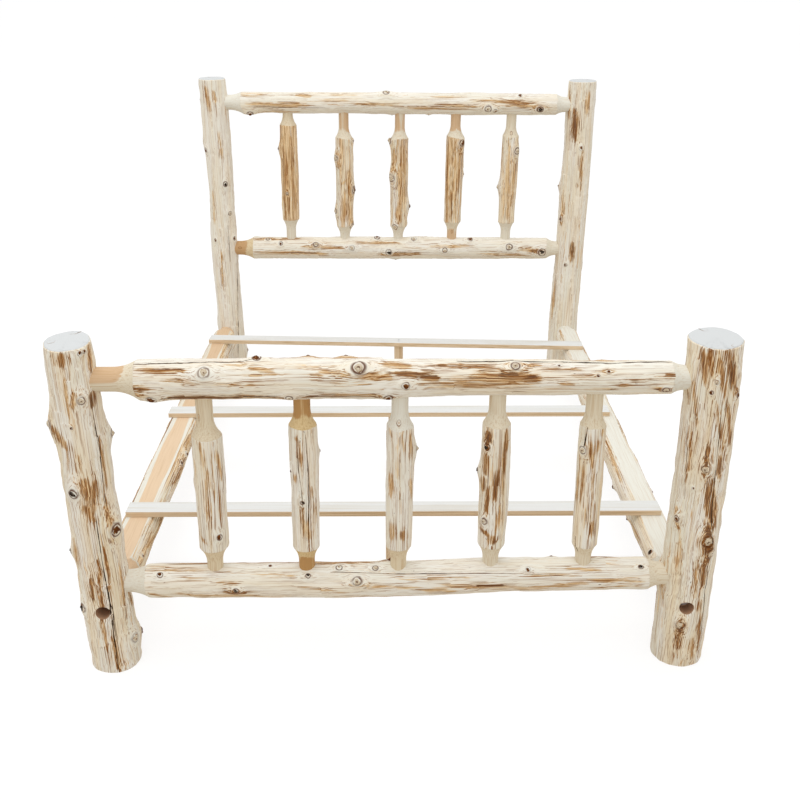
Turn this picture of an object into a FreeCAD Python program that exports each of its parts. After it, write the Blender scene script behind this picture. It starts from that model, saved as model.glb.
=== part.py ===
import FreeCAD, Part

import math
import os

import Sketcher

# Rustic log bed, queen size: four posts, two log-and-spindle end boards,
# two bolted side rails and three loose slats with centre legs.
# Millimetres. The origin is the middle of the floor area under the bed,
# +X is to the right seen from the foot, +Y points to the headboard, +Z is up.

Vector = FreeCAD.Vector
UP = Vector(0, 0, 1)
ACROSS = Vector(1, 0, 0)
ALONG = Vector(0, 1, 0)
# The line where a log's skin closes lies between its holes and flats.
SEAM_ANGLE = 225

SIZES = (
    # Whole bed
    ("bed_width", 1646, "between the axes of the two foot posts"),
    ("bed_length", 2180, "between the axes of foot post and head post"),
    ("foot_centre_shift", -6, "middle of the footboard from the origin"),
    ("head_centre_shift", 4, "middle of the headboard from the origin"),
    ("head_inset", 11, "each head post stands this much further in"),
    # Posts
    ("foot_post_left_height", 990, "floor to sawn top"),
    ("foot_post_right_height", 991, "floor to sawn top"),
    ("head_post_left_height", 1380, "floor to sawn top"),
    ("head_post_right_height", 1367, "floor to sawn top"),
    ("foot_post_left_dia", 134, "peeled log at mid height"),
    ("foot_post_right_dia", 143, "peeled log at mid height"),
    ("head_post_left_dia", 119, "peeled log at mid height"),
    ("head_post_right_dia", 128, "peeled log at mid height"),
    ("post_top_chamfer", 4, "eased edge of the sawn top"),
    # Cross rails of the two end boards
    ("foot_top_rail_height", 886, "axis above the floor, mid width"),
    ("foot_top_rail_rise", 1, "right end above left end"),
    ("foot_top_rail_dia", 100, "peeled log"),
    ("foot_top_neck_left", 34, "bare tenon showing beside the left post"),
    ("foot_top_neck_right", 4, "bare tenon showing beside the right post"),
    ("foot_bottom_rail_lift", 25, "axis above the slat seat, mid width"),
    ("foot_bottom_rail_rise", 21, "right end above left end"),
    ("foot_bottom_rail_dia", 98, "peeled log"),
    ("foot_bottom_neck_left", 3, "bare tenon showing beside the left post"),
    ("foot_bottom_neck_right", 1, "bare tenon showing beside the right post"),
    ("head_top_rail_height", 1271, "axis above the floor, mid width"),
    ("head_top_rail_rise", -14, "right end above left end"),
    ("head_top_rail_dia", 92, "peeled log"),
    ("head_top_neck_left", 10, "bare tenon showing beside the left post"),
    ("head_top_neck_right", 2, "bare tenon showing beside the right post"),
    ("head_bottom_rail_lift", 363, "axis above the slat seat, mid width"),
    ("head_bottom_rail_rise", -6, "right end above left end"),
    ("head_bottom_rail_dia", 100, "peeled log"),
    ("head_bottom_neck_left", 14, "bare tenon showing beside the left post"),
    ("head_bottom_neck_right", 2, "bare tenon showing beside the right post"),
    ("cross_tenon_dia", 64, "turned end of a cross rail"),
    ("cross_tenon_depth", 48, "tenon inside the post"),
    ("shoulder_radius_left", 118, "hollow curve at the left end of a cross rail"),
    ("shoulder_radius_right", 72, "hollow curve at the right end of a cross rail"),
    # Spindles
    ("spindle_end_gap", 312, "post axis to the first spindle"),
    ("foot_spindle_shift", 12, "middle spindle from the middle of the footboard"),
    ("head_spindle_shift", 8, "middle spindle from the middle of the headboard"),
    ("foot_spindle_dia", 77, "peeled log"),
    ("head_spindle_dia", 78, "peeled log"),
    ("spindle_tenon_dia", 44, "turned end of a spindle"),
    ("spindle_tenon_depth", 34, "tenon inside the rail"),
    ("spindle_neck_bottom", 14, "bare tenon above the bottom rail, nominal"),
    ("spindle_neck_top", 42, "bare tenon below the top rail, nominal"),
    ("spindle_shoulder_radius", 80, "hollow curve that the cutter leaves on a spindle"),
    # Side rails
    ("side_rail_inset", 7, "rail axis inside the line of the foot posts"),
    ("side_rail_left_drop", 45, "axis below the sawn flats"),
    ("side_rail_right_drop", 40, "axis below the sawn flats"),
    ("side_rail_left_dia", 114, "peeled log"),
    ("side_rail_right_dia", 108, "peeled log"),
    ("slat_seat_height", 250, "sawn flats of both side rails above the floor"),
    ("side_tenon_dia", 72, "turned end of a side rail"),
    ("side_tenon_depth", 42, "tenon inside the post"),
    ("side_neck", 6, "bare tenon showing beside a post"),
    ("side_shoulder_radius", 118, "hollow curve at the ends of a side rail"),
    # Slats and their legs
    ("slat_overhang", 27, "each end of a slat past the axis of a foot post"),
    ("slat_width", 63.5, "board"),
    ("slat_thickness", 19, "board"),
    ("slat_edge_radius", 2, "eased long edges"),
    ("front_slat_setback", 396, "foot post axis to the front slat"),
    ("middle_slat_offset", 39, "middle slat behind mid length"),
    ("rear_slat_setback", 316, "head post axis to the rear slat"),
    ("rear_slat_skew", 47, "each end of the rear slat out of square"),
    ("front_slat_shift", -11, "slat centre from the origin across the bed"),
    ("middle_slat_shift", -30, "slat centre from the origin across the bed"),
    ("rear_slat_shift", -11, "slat centre from the origin across the bed"),
    ("front_leg_offset", -7, "leg from the middle of its slat"),
    ("middle_leg_offset", 16, "leg from the middle of its slat"),
    ("rear_leg_offset", 19, "leg from the middle of its slat"),
    ("leg_side", 38, "square centre leg"),
    ("leg_edge_radius", 2, "eased edges of a leg"),
    ("leg_screw_pitch", 18, "between the two screws of a leg"),
    ("leg_screw_length", 64, "overall"),
    ("leg_screw_dia", 4.5, "shank"),
    ("leg_screw_head_dia", 9, "countersunk head"),
    ("leg_screw_point", 8, "tapered tip"),
    # Knock-down bolts of the side rails
    ("bolt_dia", 10, "shank"),
    ("bolt_head_flats", 17, "hexagon across flats"),
    ("bolt_head_height", 6.4, "hexagon"),
    ("bolt_end", 6, "bolt showing past the barrel nut"),
    ("washer_dia", 30, "outside"),
    ("washer_thickness", 2.5, "steel disc"),
    ("access_hole_dia", 40, "counterbore for head and washer"),
    ("access_hole_depth", 45, "from the post's outer side"),
    ("barrel_nut_dia", 16, "cross dowel"),
    ("barrel_nut_length", 32, "cross dowel"),
    ("barrel_nut_reach", 52, "from the post's face into the rail"),
    # Clearances and allowances
    ("fit_gap", 0.25, "all round a tenon, bolt or dowel in its hole"),
    ("end_gap", 2, "between a tenon's end and the bottom of its hole"),
    ("cut_overrun", 3, "cuts run past the surface by this much"),
)

# Each log is described by rings from one end to the other: place along the
# log as a share of its length, then sideways drift and upward drift of its
# heart and its diameter, all as shares of the log's nominal diameter.
FOOT_POST_LEFT_SHARES = (
    (0.00, 0.05, -0.06, 1.05),
    (0.18, 0.01, -0.02, 1.03),
    (0.38, 0.02, -0.02, 1.02),
    (0.58, 0.00, -0.01, 0.99),
    (0.72, 0.00, 0.01, 1.00),
    (0.82, -0.02, 0.01, 0.97),
    (0.92, -0.01, 0.00, 0.92),
    (1.00, -0.01, 0.00, 0.88),
)
FOOT_POST_RIGHT_SHARES = (
    (0.00, 0.04, 0.11, 1.05),
    (0.20, 0.02, 0.05, 1.02),
    (0.40, 0.01, 0.02, 1.00),
    (0.60, 0.00, 0.00, 0.97),
    (0.80, -0.02, -0.01, 0.97),
    (0.92, -0.05, 0.00, 0.98),
    (1.00, -0.07, 0.00, 0.97),
)
HEAD_POST_LEFT_SHARES = (
    (0.00, 0.00, 0.00, 1.06),
    (0.20, 0.00, 0.01, 1.03),
    (0.45, -0.02, 0.00, 1.01),
    (0.68, 0.045, -0.01, 0.955),
    (0.82, 0.02, 0.00, 1.015),
    (0.92, 0.02, 0.00, 1.02),
    (1.00, 0.00, 0.00, 0.975),
)
HEAD_POST_RIGHT_SHARES = (
    (0.00, -0.045, 0.00, 1.075),
    (0.20, -0.04, 0.00, 1.05),
    (0.45, 0.00, 0.01, 1.01),
    (0.68, 0.025, 0.01, 1.02),
    (0.85, 0.03, 0.00, 0.985),
    (1.00, 0.035, 0.00, 0.945),
)
FOOT_TOP_RAIL_SHARES = (
    (0.00, 0.00, 0.00, 0.98),
    (0.12, 0.00, -0.01, 1.05),
    (0.28, 0.01, 0.00, 1.05),
    (0.45, 0.01, 0.00, 1.06),
    (0.58, 0.00, 0.02, 0.97),
    (0.72, 0.00, 0.01, 0.93),
    (0.86, 0.00, 0.00, 0.87),
    (1.00, 0.00, 0.00, 0.86),
)
FOOT_BOTTOM_RAIL_SHARES = (
    (0.00, 0.00, 0.00, 0.93),
    (0.15, 0.00, -0.02, 0.99),
    (0.38, 0.01, -0.08, 1.02),
    (0.52, 0.01, -0.07, 1.03),
    (0.68, 0.00, 0.02, 0.99),
    (0.84, 0.00, 0.02, 0.94),
    (1.00, 0.00, 0.00, 0.90),
)
HEAD_TOP_RAIL_SHARES = (
    (0.00, 0.00, 0.00, 1.01),
    (0.25, 0.01, 0.00, 0.98),
    (0.50, 0.01, 0.01, 1.00),
    (0.72, 0.00, 0.00, 1.02),
    (1.00, 0.00, 0.00, 0.94),
)
HEAD_BOTTOM_RAIL_SHARES = (
    (0.00, 0.00, 0.00, 1.00),
    (0.25, 0.00, 0.01, 1.02),
    (0.50, -0.01, 0.01, 1.02),
    (0.75, 0.00, 0.00, 1.01),
    (1.00, 0.00, 0.00, 0.92),
)
SIDE_RAIL_LEFT_SHARES = (
    (0.00, 0.00, 0.00, 1.00),
    (0.25, 0.01, 0.03, 1.01),
    (0.50, 0.03, 0.04, 1.00),
    (0.75, 0.01, 0.02, 0.98),
    (1.00, 0.00, 0.00, 0.96),
)
SIDE_RAIL_RIGHT_SHARES = (
    (0.00, 0.00, 0.00, 1.01),
    (0.25, 0.01, -0.03, 1.00),
    (0.50, 0.02, -0.04, 0.99),
    (0.75, 0.00, -0.02, 0.98),
    (1.00, 0.00, 0.00, 0.96),
)
SPINDLE_SHARES = (
    (0.00, 0.00, 0.00, 0.96),
    (0.26, 0.01, 0.00, 1.00),
    (0.50, 0.02, 0.01, 1.02),
    (0.74, 0.01, 0.00, 0.99),
    (1.00, 0.00, 0.00, 0.95),
)
# Per spindle, left to right: how far the top leans out, as a share of the
# spindle pitch, its girth, as a share of the nominal diameter, and its bottom
# and top necks, as shares of the nominal necks.
FOOT_SPINDLE_SHARES = (
    (0.045, 1.06, 1.0, 1.40),
    (0.031, 0.98, 1.0, 0.80),
    (0.026, 0.94, 1.0, 0.90),
    (0.006, 1.01, 1.0, 0.76),
    (-0.030, 0.92, 1.0, 0.95),
)
HEAD_SPINDLE_SHARES = (
    (0.043, 1.00, 2.9, 0.05),
    (0.031, 1.01, 0.6, 1.30),
    (0.043, 1.00, 0.6, 1.30),
    (0.039, 1.02, 2.1, 1.05),
    (0.024, 0.97, 2.1, 1.05),
)
# How far out from a log's axis the tenon cutter works, as a share of the
# log's diameter, so that it clears the thickest place.
CUTTER_REACH_SHARE = 0.65
# The blunt end of a screw's point, as a share of the shank's radius.
SCREW_TIP_SHARE = 0.25
# Two directions closer than this count as parallel.
PARALLEL_SHARE = 0.000001

doc = FreeCAD.newDocument("RusticLogBed")
sheet = doc.addObject("Spreadsheet::Sheet", "Sizes")
parts = []


def fill_sheet():
    for row, (alias, number, note) in enumerate(SIZES, start=1):
        sheet.set("A%d" % row, alias)
        sheet.set("B%d" % row, str(number))
        sheet.setAlias("B%d" % row, alias)
        sheet.set("C%d" % row, note)
    doc.recompute()


def size(alias):
    return float(sheet.get(alias))


def cell(alias):
    return "Sizes." + alias


def finish_part(thing, label):
    thing.Label = label
    parts.append(thing)
    return thing


def origin_plane(body, role):
    for feature in body.Origin.OriginFeatures:
        if feature.Role == role:
            return feature
    raise RuntimeError("no plane " + role)


def new_sketch(body, name, role="XY_Plane"):
    sketch = body.newObject("Sketcher::SketchObject", name)
    sketch.AttachmentSupport = [(origin_plane(body, role), "")]
    sketch.MapMode = "FlatFace"
    return sketch


def add_circle(sketch, radius_formula):
    # The circle's centre is the sketch's own origin.
    centre = Vector(0, 0, 0)
    circle = sketch.addGeometry(Part.Circle(centre, UP, size("cut_overrun")), False)
    sketch.addConstraint(Sketcher.Constraint("Coincident", circle, 3, -1, 1))
    radius = sketch.addConstraint(
        Sketcher.Constraint("Radius", circle, size("cut_overrun"))
    )
    sketch.setExpression("Constraints[%d]" % radius, radius_formula)


def add_rectangle(sketch, low_x, low_y, width, height):
    # Four lines with every size bound; low_x and low_y are distances to the
    # left of and below the sketch's origin.
    corners = (Vector(-1, -1, 0), Vector(1, -1, 0), Vector(1, 1, 0), Vector(-1, 1, 0))
    for start, end in zip(corners, corners[1:] + corners[:1]):
        sketch.addGeometry(Part.LineSegment(start, end), False)
    for line in range(4):
        sketch.addConstraint(
            Sketcher.Constraint("Coincident", line, 2, (line + 1) % 4, 1)
        )
    for line, way in enumerate(("Horizontal", "Vertical", "Horizontal", "Vertical")):
        sketch.addConstraint(Sketcher.Constraint(way, line))
    bound = (
        (Sketcher.Constraint("DistanceX", 0, 1, 0, 2, 2), width),
        (Sketcher.Constraint("DistanceY", 1, 1, 1, 2, 2), height),
        (Sketcher.Constraint("DistanceX", 0, 1, -1, 1, 1), low_x),
        (Sketcher.Constraint("DistanceY", 0, 1, -1, 1, 1), low_y),
    )
    for constraint, formula in bound:
        index = sketch.addConstraint(constraint)
        sketch.setExpression("Constraints[%d]" % index, formula)


def cut_and_compare(body, cut):
    # A cut that points the wrong way removes nothing, so volumes are compared.
    doc.recompute()
    before = cut.BaseFeature.Shape.Volume
    if not cut.Shape.Volume < before:
        raise RuntimeError(body.Label + ": " + cut.Name + " removed nothing")


def log_body(label, length, diameter, shares, girth_share=1):
    # One peeled log: a smooth skin through its rings, along its own Z axis.
    rings = []
    for place, aside, upward, girth in shares:
        ring = doc.addObject("Part::Circle", label + "_ring")
        ring.Placement.Rotation = FreeCAD.Rotation(UP, SEAM_ANGLE)
        ring.setExpression("Radius", "%s * %s" % (diameter, girth * girth_share / 2))
        ring.setExpression("Placement.Base.x", "%s * %s" % (diameter, aside))
        ring.setExpression("Placement.Base.y", "%s * %s" % (diameter, upward))
        ring.setExpression("Placement.Base.z", "(%s) * %s" % (length, place))
        rings.append(ring)
    log = doc.addObject("Part::Loft", label + "_log")
    log.Sections = rings
    log.Solid = True
    log.MaxDegree = 3
    doc.recompute()
    body = doc.addObject("PartDesign::Body", label)
    body.BaseFeature = log
    doc.recompute()
    finish_part(body, label)
    return body, rings[-1].Placement.Base.z


def cut_tenon(body, length, diameter, tenon, straight, curve, far_end):
    # The tenon cutter leaves a round tenon and a hollow shoulder that runs
    # out through the log's skin. Straight is the tenon's length, as a number
    # and as a formula.
    sketch = new_sketch(body, body.Label + "_cutter", "XZ_Plane")
    if far_end:
        sketch.AttachmentOffset = FreeCAD.Placement(
            Vector(0, 0, 0), FreeCAD.Rotation(UP, 180)
        )
        sketch.setExpression("AttachmentOffset.Base.y", length)
    overrun = size("cut_overrun")
    radius = size(tenon) / 2
    reach = straight[0]
    hollow = size(curve)
    outer = size(diameter) * CUTTER_REACH_SHARE
    depth = outer - radius
    rise = math.sqrt(hollow * hollow - (hollow - depth) * (hollow - depth))
    foot = Vector(radius, -overrun, 0)
    start = Vector(radius, reach, 0)
    end = Vector(outer, reach + rise, 0)
    corner = Vector(outer, -overrun, 0)
    centre = Vector(radius + hollow, reach, 0)
    turn = math.asin(rise / hollow)
    arc = Part.ArcOfCircle(Part.Circle(centre, UP, hollow), math.pi - turn, math.pi)
    sketch.addGeometry(Part.LineSegment(foot, start), False)
    sketch.addGeometry(arc, False)
    sketch.addGeometry(Part.LineSegment(end, corner), False)
    sketch.addGeometry(Part.LineSegment(corner, foot), False)
    joined = ((0, 2, 1, 2), (1, 1, 2, 1), (2, 2, 3, 1), (3, 2, 0, 1))
    for first, first_end, second, second_end in joined:
        sketch.addConstraint(
            Sketcher.Constraint("Coincident", first, first_end, second, second_end)
        )
    sketch.addConstraint(Sketcher.Constraint("Vertical", 0))
    sketch.addConstraint(Sketcher.Constraint("Vertical", 2))
    sketch.addConstraint(Sketcher.Constraint("Horizontal", 3))
    sketch.addConstraint(Sketcher.Constraint("Horizontal", 1, 3, 0, 2))
    bound = (
        (Sketcher.Constraint("DistanceX", -1, 1, 0, 1, radius), "%s / 2" % cell(tenon)),
        (
            Sketcher.Constraint("DistanceX", -1, 1, 2, 2, outer),
            "%s * %s" % (cell(diameter), CUTTER_REACH_SHARE),
        ),
        (Sketcher.Constraint("DistanceY", 0, 1, -1, 1, overrun), cell("cut_overrun")),
        (Sketcher.Constraint("DistanceY", -1, 1, 0, 2, reach), straight[1]),
        (Sketcher.Constraint("Radius", 1, hollow), cell(curve)),
    )
    for constraint, formula in bound:
        index = sketch.addConstraint(constraint)
        sketch.setExpression("Constraints[%d]" % index, formula)
    doc.recompute()
    groove = body.newObject("PartDesign::Groove", body.Label + "_tenon")
    groove.Profile = sketch
    groove.ReferenceAxis = (sketch, ["V_Axis"])
    groove.Angle = 360
    cut_and_compare(body, groove)


def frame_along(start, direction, sideways):
    # A placement whose own Z runs along direction and own X as near as it can
    # to sideways.
    z_axis = Vector(direction).normalize()
    y_axis = z_axis.cross(Vector(sideways)).normalize()
    x_axis = y_axis.cross(z_axis)
    rotation = FreeCAD.Rotation(x_axis, y_axis, z_axis, "ZXY")
    return FreeCAD.Placement(start, rotation)


def bore(body, start, direction, diameter):
    # A round hole in body from start, out along direction and through the skin.
    offset = body.Placement.inverse() * frame_along(start, direction, ALONG + UP + ACROSS)
    sketch = new_sketch(body, body.Label + "_bore")
    sketch.AttachmentOffset = offset
    add_circle(sketch, "(%s) / 2" % diameter)
    doc.recompute()
    pocket = body.newObject("PartDesign::Pocket", body.Label + "_hole")
    pocket.Profile = sketch
    pocket.Type = "ThroughAll"
    pocket.Reversed = True
    cut_and_compare(body, pocket)


def axis_point(body, distance):
    return body.Placement * Vector(0, 0, distance)


def mortise(carrier, member, length, far_end, tenon):
    # The hole for a member's turned end, on the member's own axis.
    gap = size("end_gap")
    start = axis_point(member, length + gap if far_end else -gap)
    outward = axis_point(member, 0) - axis_point(member, length)
    if not far_end:
        outward = outward * -1
    bore(carrier, start, outward, "%s + 2 * %s" % (cell(tenon), cell("fit_gap")))


def ease_top(body, height, diameter, top_ring):
    # A cutter takes the edge off the sawn top of a post.
    place, aside, upward, girth = top_ring
    sketch = new_sketch(body, body.Label + "_edge", "XZ_Plane")
    for axis, formula in (
        ("x", "%s * %s" % (diameter, aside)),
        ("y", height),
        ("z", "%s * %s" % (diameter, -upward)),
    ):
        sketch.setExpression("AttachmentOffset.Base." + axis, formula)
    overrun = cell("cut_overrun")
    chamfer = cell("post_top_chamfer")
    corners = (Vector(1, 1, 0), Vector(2, 0, 0), Vector(2, 1, 0))
    for start, end in zip(corners, corners[1:] + corners[:1]):
        sketch.addGeometry(Part.LineSegment(start, end), False)
    for first, second in ((0, 1), (1, 2), (2, 0)):
        sketch.addConstraint(Sketcher.Constraint("Coincident", first, 2, second, 1))
    sketch.addConstraint(Sketcher.Constraint("Vertical", 1))
    sketch.addConstraint(Sketcher.Constraint("Horizontal", 2))
    inner = "%s * %s / 2 - %s - %s" % (diameter, girth, chamfer, overrun)
    leg = "%s + 2 * %s" % (chamfer, overrun)
    bound = (
        (Sketcher.Constraint("DistanceX", -1, 1, 0, 1, 1), inner),
        (Sketcher.Constraint("DistanceY", -1, 1, 0, 1, 1), overrun),
        (Sketcher.Constraint("DistanceX", 0, 1, 2, 1, 1), leg),
        (Sketcher.Constraint("DistanceY", 1, 1, 1, 2, 1), leg),
    )
    for constraint, formula in bound:
        index = sketch.addConstraint(constraint)
        sketch.setExpression("Constraints[%d]" % index, formula)
    doc.recompute()
    groove = body.newObject("PartDesign::Groove", body.Label + "_eased")
    groove.Profile = sketch
    groove.ReferenceAxis = (sketch, ["V_Axis"])
    groove.Angle = 360
    cut_and_compare(body, groove)


def post(label, shares, x_place, y_place):
    height = cell(label + "_height")
    diameter = cell(label + "_dia")
    body, length = log_body(label, height, diameter, shares)
    ease_top(body, height, diameter, shares[-1])
    body.Placement = FreeCAD.Placement(Vector(x_place, y_place, 0), FreeCAD.Rotation())
    return body


def rail_height_names(prefix):
    # The bottom rails follow the slat seat; the top rails stand by themselves.
    if prefix.endswith("bottom_rail"):
        return ("slat_seat_height", prefix + "_lift")
    return (prefix + "_height",)


def cross_rail(prefix, shares, left_post, right_post, left_dia, right_dia, span):
    # A log between two posts, a little out of level, with a turned end in each.
    label = prefix.replace("foot_", "footboard_").replace("head_", "headboard_")
    depth = cell("cross_tenon_depth")
    length_formula = "%s - (%s + %s) / 2 + 2 * %s" % (
        span, cell(left_dia), cell(right_dia), depth,
    )
    body, length = log_body(label, length_formula, cell(prefix + "_dia"), shares)
    ends = ((False, "_neck_left"), (True, "_neck_right"))
    for far_end, neck in ends:
        neck_alias = prefix.replace("_rail", "") + neck
        straight = (
            size("cross_tenon_depth") + size(neck_alias),
            "%s + %s" % (depth, cell(neck_alias)),
        )
        curve = "shoulder_radius_right" if far_end else "shoulder_radius_left"
        cut_tenon(
            body, length_formula, prefix + "_dia", "cross_tenon_dia", straight, curve, far_end
        )
    clear = size(left_dia) / 2 - size("cross_tenon_depth")
    post_span = right_post.Placement.Base.x - left_post.Placement.Base.x
    slope = size(prefix + "_rise") / post_span
    height = sum(size(name) for name in rail_height_names(prefix))
    low = height - size(prefix + "_rise") / 2
    start = left_post.Placement.Base + Vector(clear, 0, low + slope * clear)
    body.Placement = frame_along(start, Vector(1, 0, slope), ALONG)
    mortise(left_post, body, length, False, "cross_tenon_dia")
    mortise(right_post, body, length, True, "cross_tenon_dia")
    return body


def rail_axis_height(rail, x_place):
    # Height of a cross rail's axis above the floor at a place across the bed.
    start = axis_point(rail, 0)
    way = axis_point(rail, size("bed_width")) - start
    return start.z + (x_place - start.x) * way.z / way.x


def spindles(board, bottom_rail, top_rail, centre, half_post_span, shares):
    # The turned-end logs between the two rails of an end board.
    count = len(shares)
    pitch = 2 * (half_post_span - size("spindle_end_gap")) / (count - 1)
    bottom_dia = board + "_bottom_rail_dia"
    top_dia = board + "_top_rail_dia"
    depth = size("spindle_tenon_depth")
    y_place = bottom_rail.Placement.Base.y
    for number, (lean, girth, bottom_neck, top_neck) in enumerate(shares):
        middle = centre + (number - (count - 1) / 2) * pitch
        bottom_x = middle - pitch * lean / 2
        top_x = middle + pitch * lean / 2
        bottom_z = rail_axis_height(bottom_rail, bottom_x) + size(bottom_dia) / 2 - depth
        top_z = rail_axis_height(top_rail, top_x) - size(top_dia) / 2 + depth
        start = Vector(bottom_x, y_place, bottom_z)
        way = Vector(top_x, y_place, top_z) - start
        across_share = (middle - size(board + "_centre_shift")) / size("bed_width")
        length_formula = "%s - %s - %s + (%s - %s) * %s - (%s + %s) / 2 + 2 * %s" % (
            cell(board + "_top_rail_height"), cell("slat_seat_height"),
            cell(board + "_bottom_rail_lift"),
            cell(board + "_top_rail_rise"), cell(board + "_bottom_rail_rise"), across_share,
            cell(top_dia), cell(bottom_dia), cell("spindle_tenon_depth"),
        )
        label = "%sboard_spindle_%d" % (board, number + 1)
        body, length = log_body(
            label, length_formula, cell(board + "_spindle_dia"), SPINDLE_SHARES, girth
        )
        for far_end, neck, neck_share in (
            (False, "spindle_neck_bottom", bottom_neck),
            (True, "spindle_neck_top", top_neck),
        ):
            straight = (
                depth + size(neck) * neck_share,
                "%s + %s * %s" % (cell("spindle_tenon_depth"), cell(neck), neck_share),
            )
            cut_tenon(
                body, length_formula, board + "_spindle_dia", "spindle_tenon_dia",
                straight, "spindle_shoulder_radius", far_end,
            )
        body.Placement = frame_along(start, way, ACROSS)
        mortise(bottom_rail, body, length, False, "spindle_tenon_dia")
        mortise(top_rail, body, length, True, "spindle_tenon_dia")


def end_board(board, y_place, centre, half_span, span, posts, rails, spindle_shares):
    # Two posts, two cross rails and the spindles between them.
    (left_shares, right_shares), (bottom_shares, top_shares) = posts, rails
    left_dia = board + "_post_left_dia"
    right_dia = board + "_post_right_dia"
    left = post(board + "_post_left", left_shares, centre - half_span, y_place)
    right = post(board + "_post_right", right_shares, centre + half_span, y_place)
    bottom = cross_rail(
        board + "_bottom_rail", bottom_shares, left, right, left_dia, right_dia, span
    )
    top = cross_rail(board + "_top_rail", top_shares, left, right, left_dia, right_dia, span)
    middle = centre + size(board + "_spindle_shift")
    spindles(board, bottom, top, middle, half_span, spindle_shares)
    return left, right


def side_rail(side, shares, foot_post, head_post):
    # A log sawn flat on top to carry the slats, with a turned end in each post.
    label = "side_rail_" + side
    diameter = cell(label + "_dia")
    foot_dia = "foot_post_%s_dia" % side
    head_dia = "head_post_%s_dia" % side
    length_formula = "%s - (%s + %s) / 2 + 2 * %s" % (
        cell("bed_length"), cell(foot_dia), cell(head_dia), cell("side_tenon_depth"),
    )
    body, length = log_body(label, length_formula, diameter, shares)
    straight = (
        size("side_tenon_depth") + size("side_neck"),
        "%s + %s" % (cell("side_tenon_depth"), cell("side_neck")),
    )
    for far_end in (False, True):
        cut_tenon(
            body, length_formula, label + "_dia", "side_tenon_dia", straight,
            "side_shoulder_radius", far_end,
        )
    flat = new_sketch(body, label + "_flat")
    add_rectangle(flat, diameter, "-" + cell(label + "_drop"), "2 * " + diameter, diameter)
    doc.recompute()
    saw = body.newObject("PartDesign::Pocket", label + "_sawn_top")
    saw.Profile = flat
    saw.Type = "ThroughAll"
    saw.Reversed = True
    cut_and_compare(body, saw)
    way = -1 if side == "left" else 1
    x_place = size("foot_centre_shift") + way * (size("bed_width") / 2 - size("side_rail_inset"))
    y_place = foot_post.Placement.Base.y + size(foot_dia) / 2 - size("side_tenon_depth")
    start = Vector(x_place, y_place, size("slat_seat_height") - size(label + "_drop"))
    body.Placement = frame_along(start, ALONG, ACROSS * -1)
    mortise(foot_post, body, length, False, "side_tenon_dia")
    mortise(head_post, body, length, True, "side_tenon_dia")
    for board, carrier, post_dia, far_end in (
        ("foot", foot_post, foot_dia, False),
        ("head", head_post, head_dia, True),
    ):
        rail_bolt(board + "_" + side, carrier, body, length, post_dia, far_end)


def cylinder(name, radius, height):
    solid = doc.addObject("Part::Cylinder", name)
    solid.setExpression("Radius", radius)
    solid.setExpression("Height", height)
    return solid


def rail_bolt(place, carrier, rail, rail_length, post_dia, far_end):
    # A bolt through the post into a barrel nut across the rail's end.
    outward = ALONG if far_end else ALONG * -1
    inward = outward * -1
    post_radius = size(post_dia) / 2
    rail_end = axis_point(rail, rail_length if far_end else 0)
    face = rail_end + inward * size("side_tenon_depth")
    seat = face + outward * (2 * post_radius - size("access_hole_depth"))
    nut_centre = face + inward * size("barrel_nut_reach")
    gap = cell("fit_gap")
    # Holes in the post and the rail
    bolt_hole = "%s + 2 * %s" % (cell("bolt_dia"), gap)
    bore(carrier, seat, outward, cell("access_hole_dia"))
    bore(carrier, rail_end + inward * size("end_gap"), outward, bolt_hole)
    shank = size("washer_thickness") + (nut_centre - seat).Length
    shank = shank + size("barrel_nut_dia") / 2 + size("bolt_end")
    tip = seat + outward * size("washer_thickness") + inward * shank
    bore(rail, tip + inward * size("end_gap"), outward, bolt_hole)
    nut_top = nut_centre + UP * (size("barrel_nut_length") / 2)
    bore(rail, nut_top, UP * -1, "%s + 2 * %s" % (cell("barrel_nut_dia"), gap))
    # Washer
    clear_radius = "%s / 2 + %s" % (cell("bolt_dia"), gap)
    thickness = cell("washer_thickness")
    disc = cylinder("washer_disc_" + place, cell("washer_dia") + " / 2", thickness)
    hole = cylinder("washer_hole_" + place, clear_radius, thickness)
    washer = doc.addObject("Part::Cut", "rail_washer_" + place)
    washer.Base = disc
    washer.Tool = hole
    washer.Placement = frame_along(seat, outward, UP)
    finish_part(washer, "rail_washer_" + place)
    # Bolt, from the tip to the hexagon head
    shank_length = bolt_length_formula(post_dia)
    stem = cylinder("bolt_stem_" + place, cell("bolt_dia") + " / 2", shank_length)
    head = doc.addObject("Part::Prism", "bolt_head_" + place)
    head.Polygon = 6
    head.setExpression("Circumradius", cell("bolt_head_flats") + " / sqrt(3)")
    head.setExpression("Height", cell("bolt_head_height"))
    head.setExpression("Placement.Base.z", shank_length)
    bolt = doc.addObject("Part::Fuse", "rail_bolt_" + place)
    bolt.Base = stem
    bolt.Tool = head
    bolt.Placement = frame_along(tip, outward, UP)
    finish_part(bolt, "rail_bolt_" + place)
    # Barrel nut, standing across the rail, with the bolt through its middle
    nut_dia = cell("barrel_nut_dia")
    barrel = cylinder("nut_body_" + place, nut_dia + " / 2", cell("barrel_nut_length"))
    thread = cylinder("nut_thread_" + place, clear_radius, "2 * " + nut_dia)
    thread_start = Vector(0, -size("barrel_nut_dia"), size("barrel_nut_length") / 2)
    thread.Placement = frame_along(thread_start, ALONG, ACROSS)
    nut = doc.addObject("Part::Cut", "rail_barrel_nut_" + place)
    nut.Base = barrel
    nut.Tool = thread
    nut.Placement = FreeCAD.Placement(
        nut_centre - UP * (size("barrel_nut_length") / 2), FreeCAD.Rotation()
    )
    finish_part(nut, "rail_barrel_nut_" + place)


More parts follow.
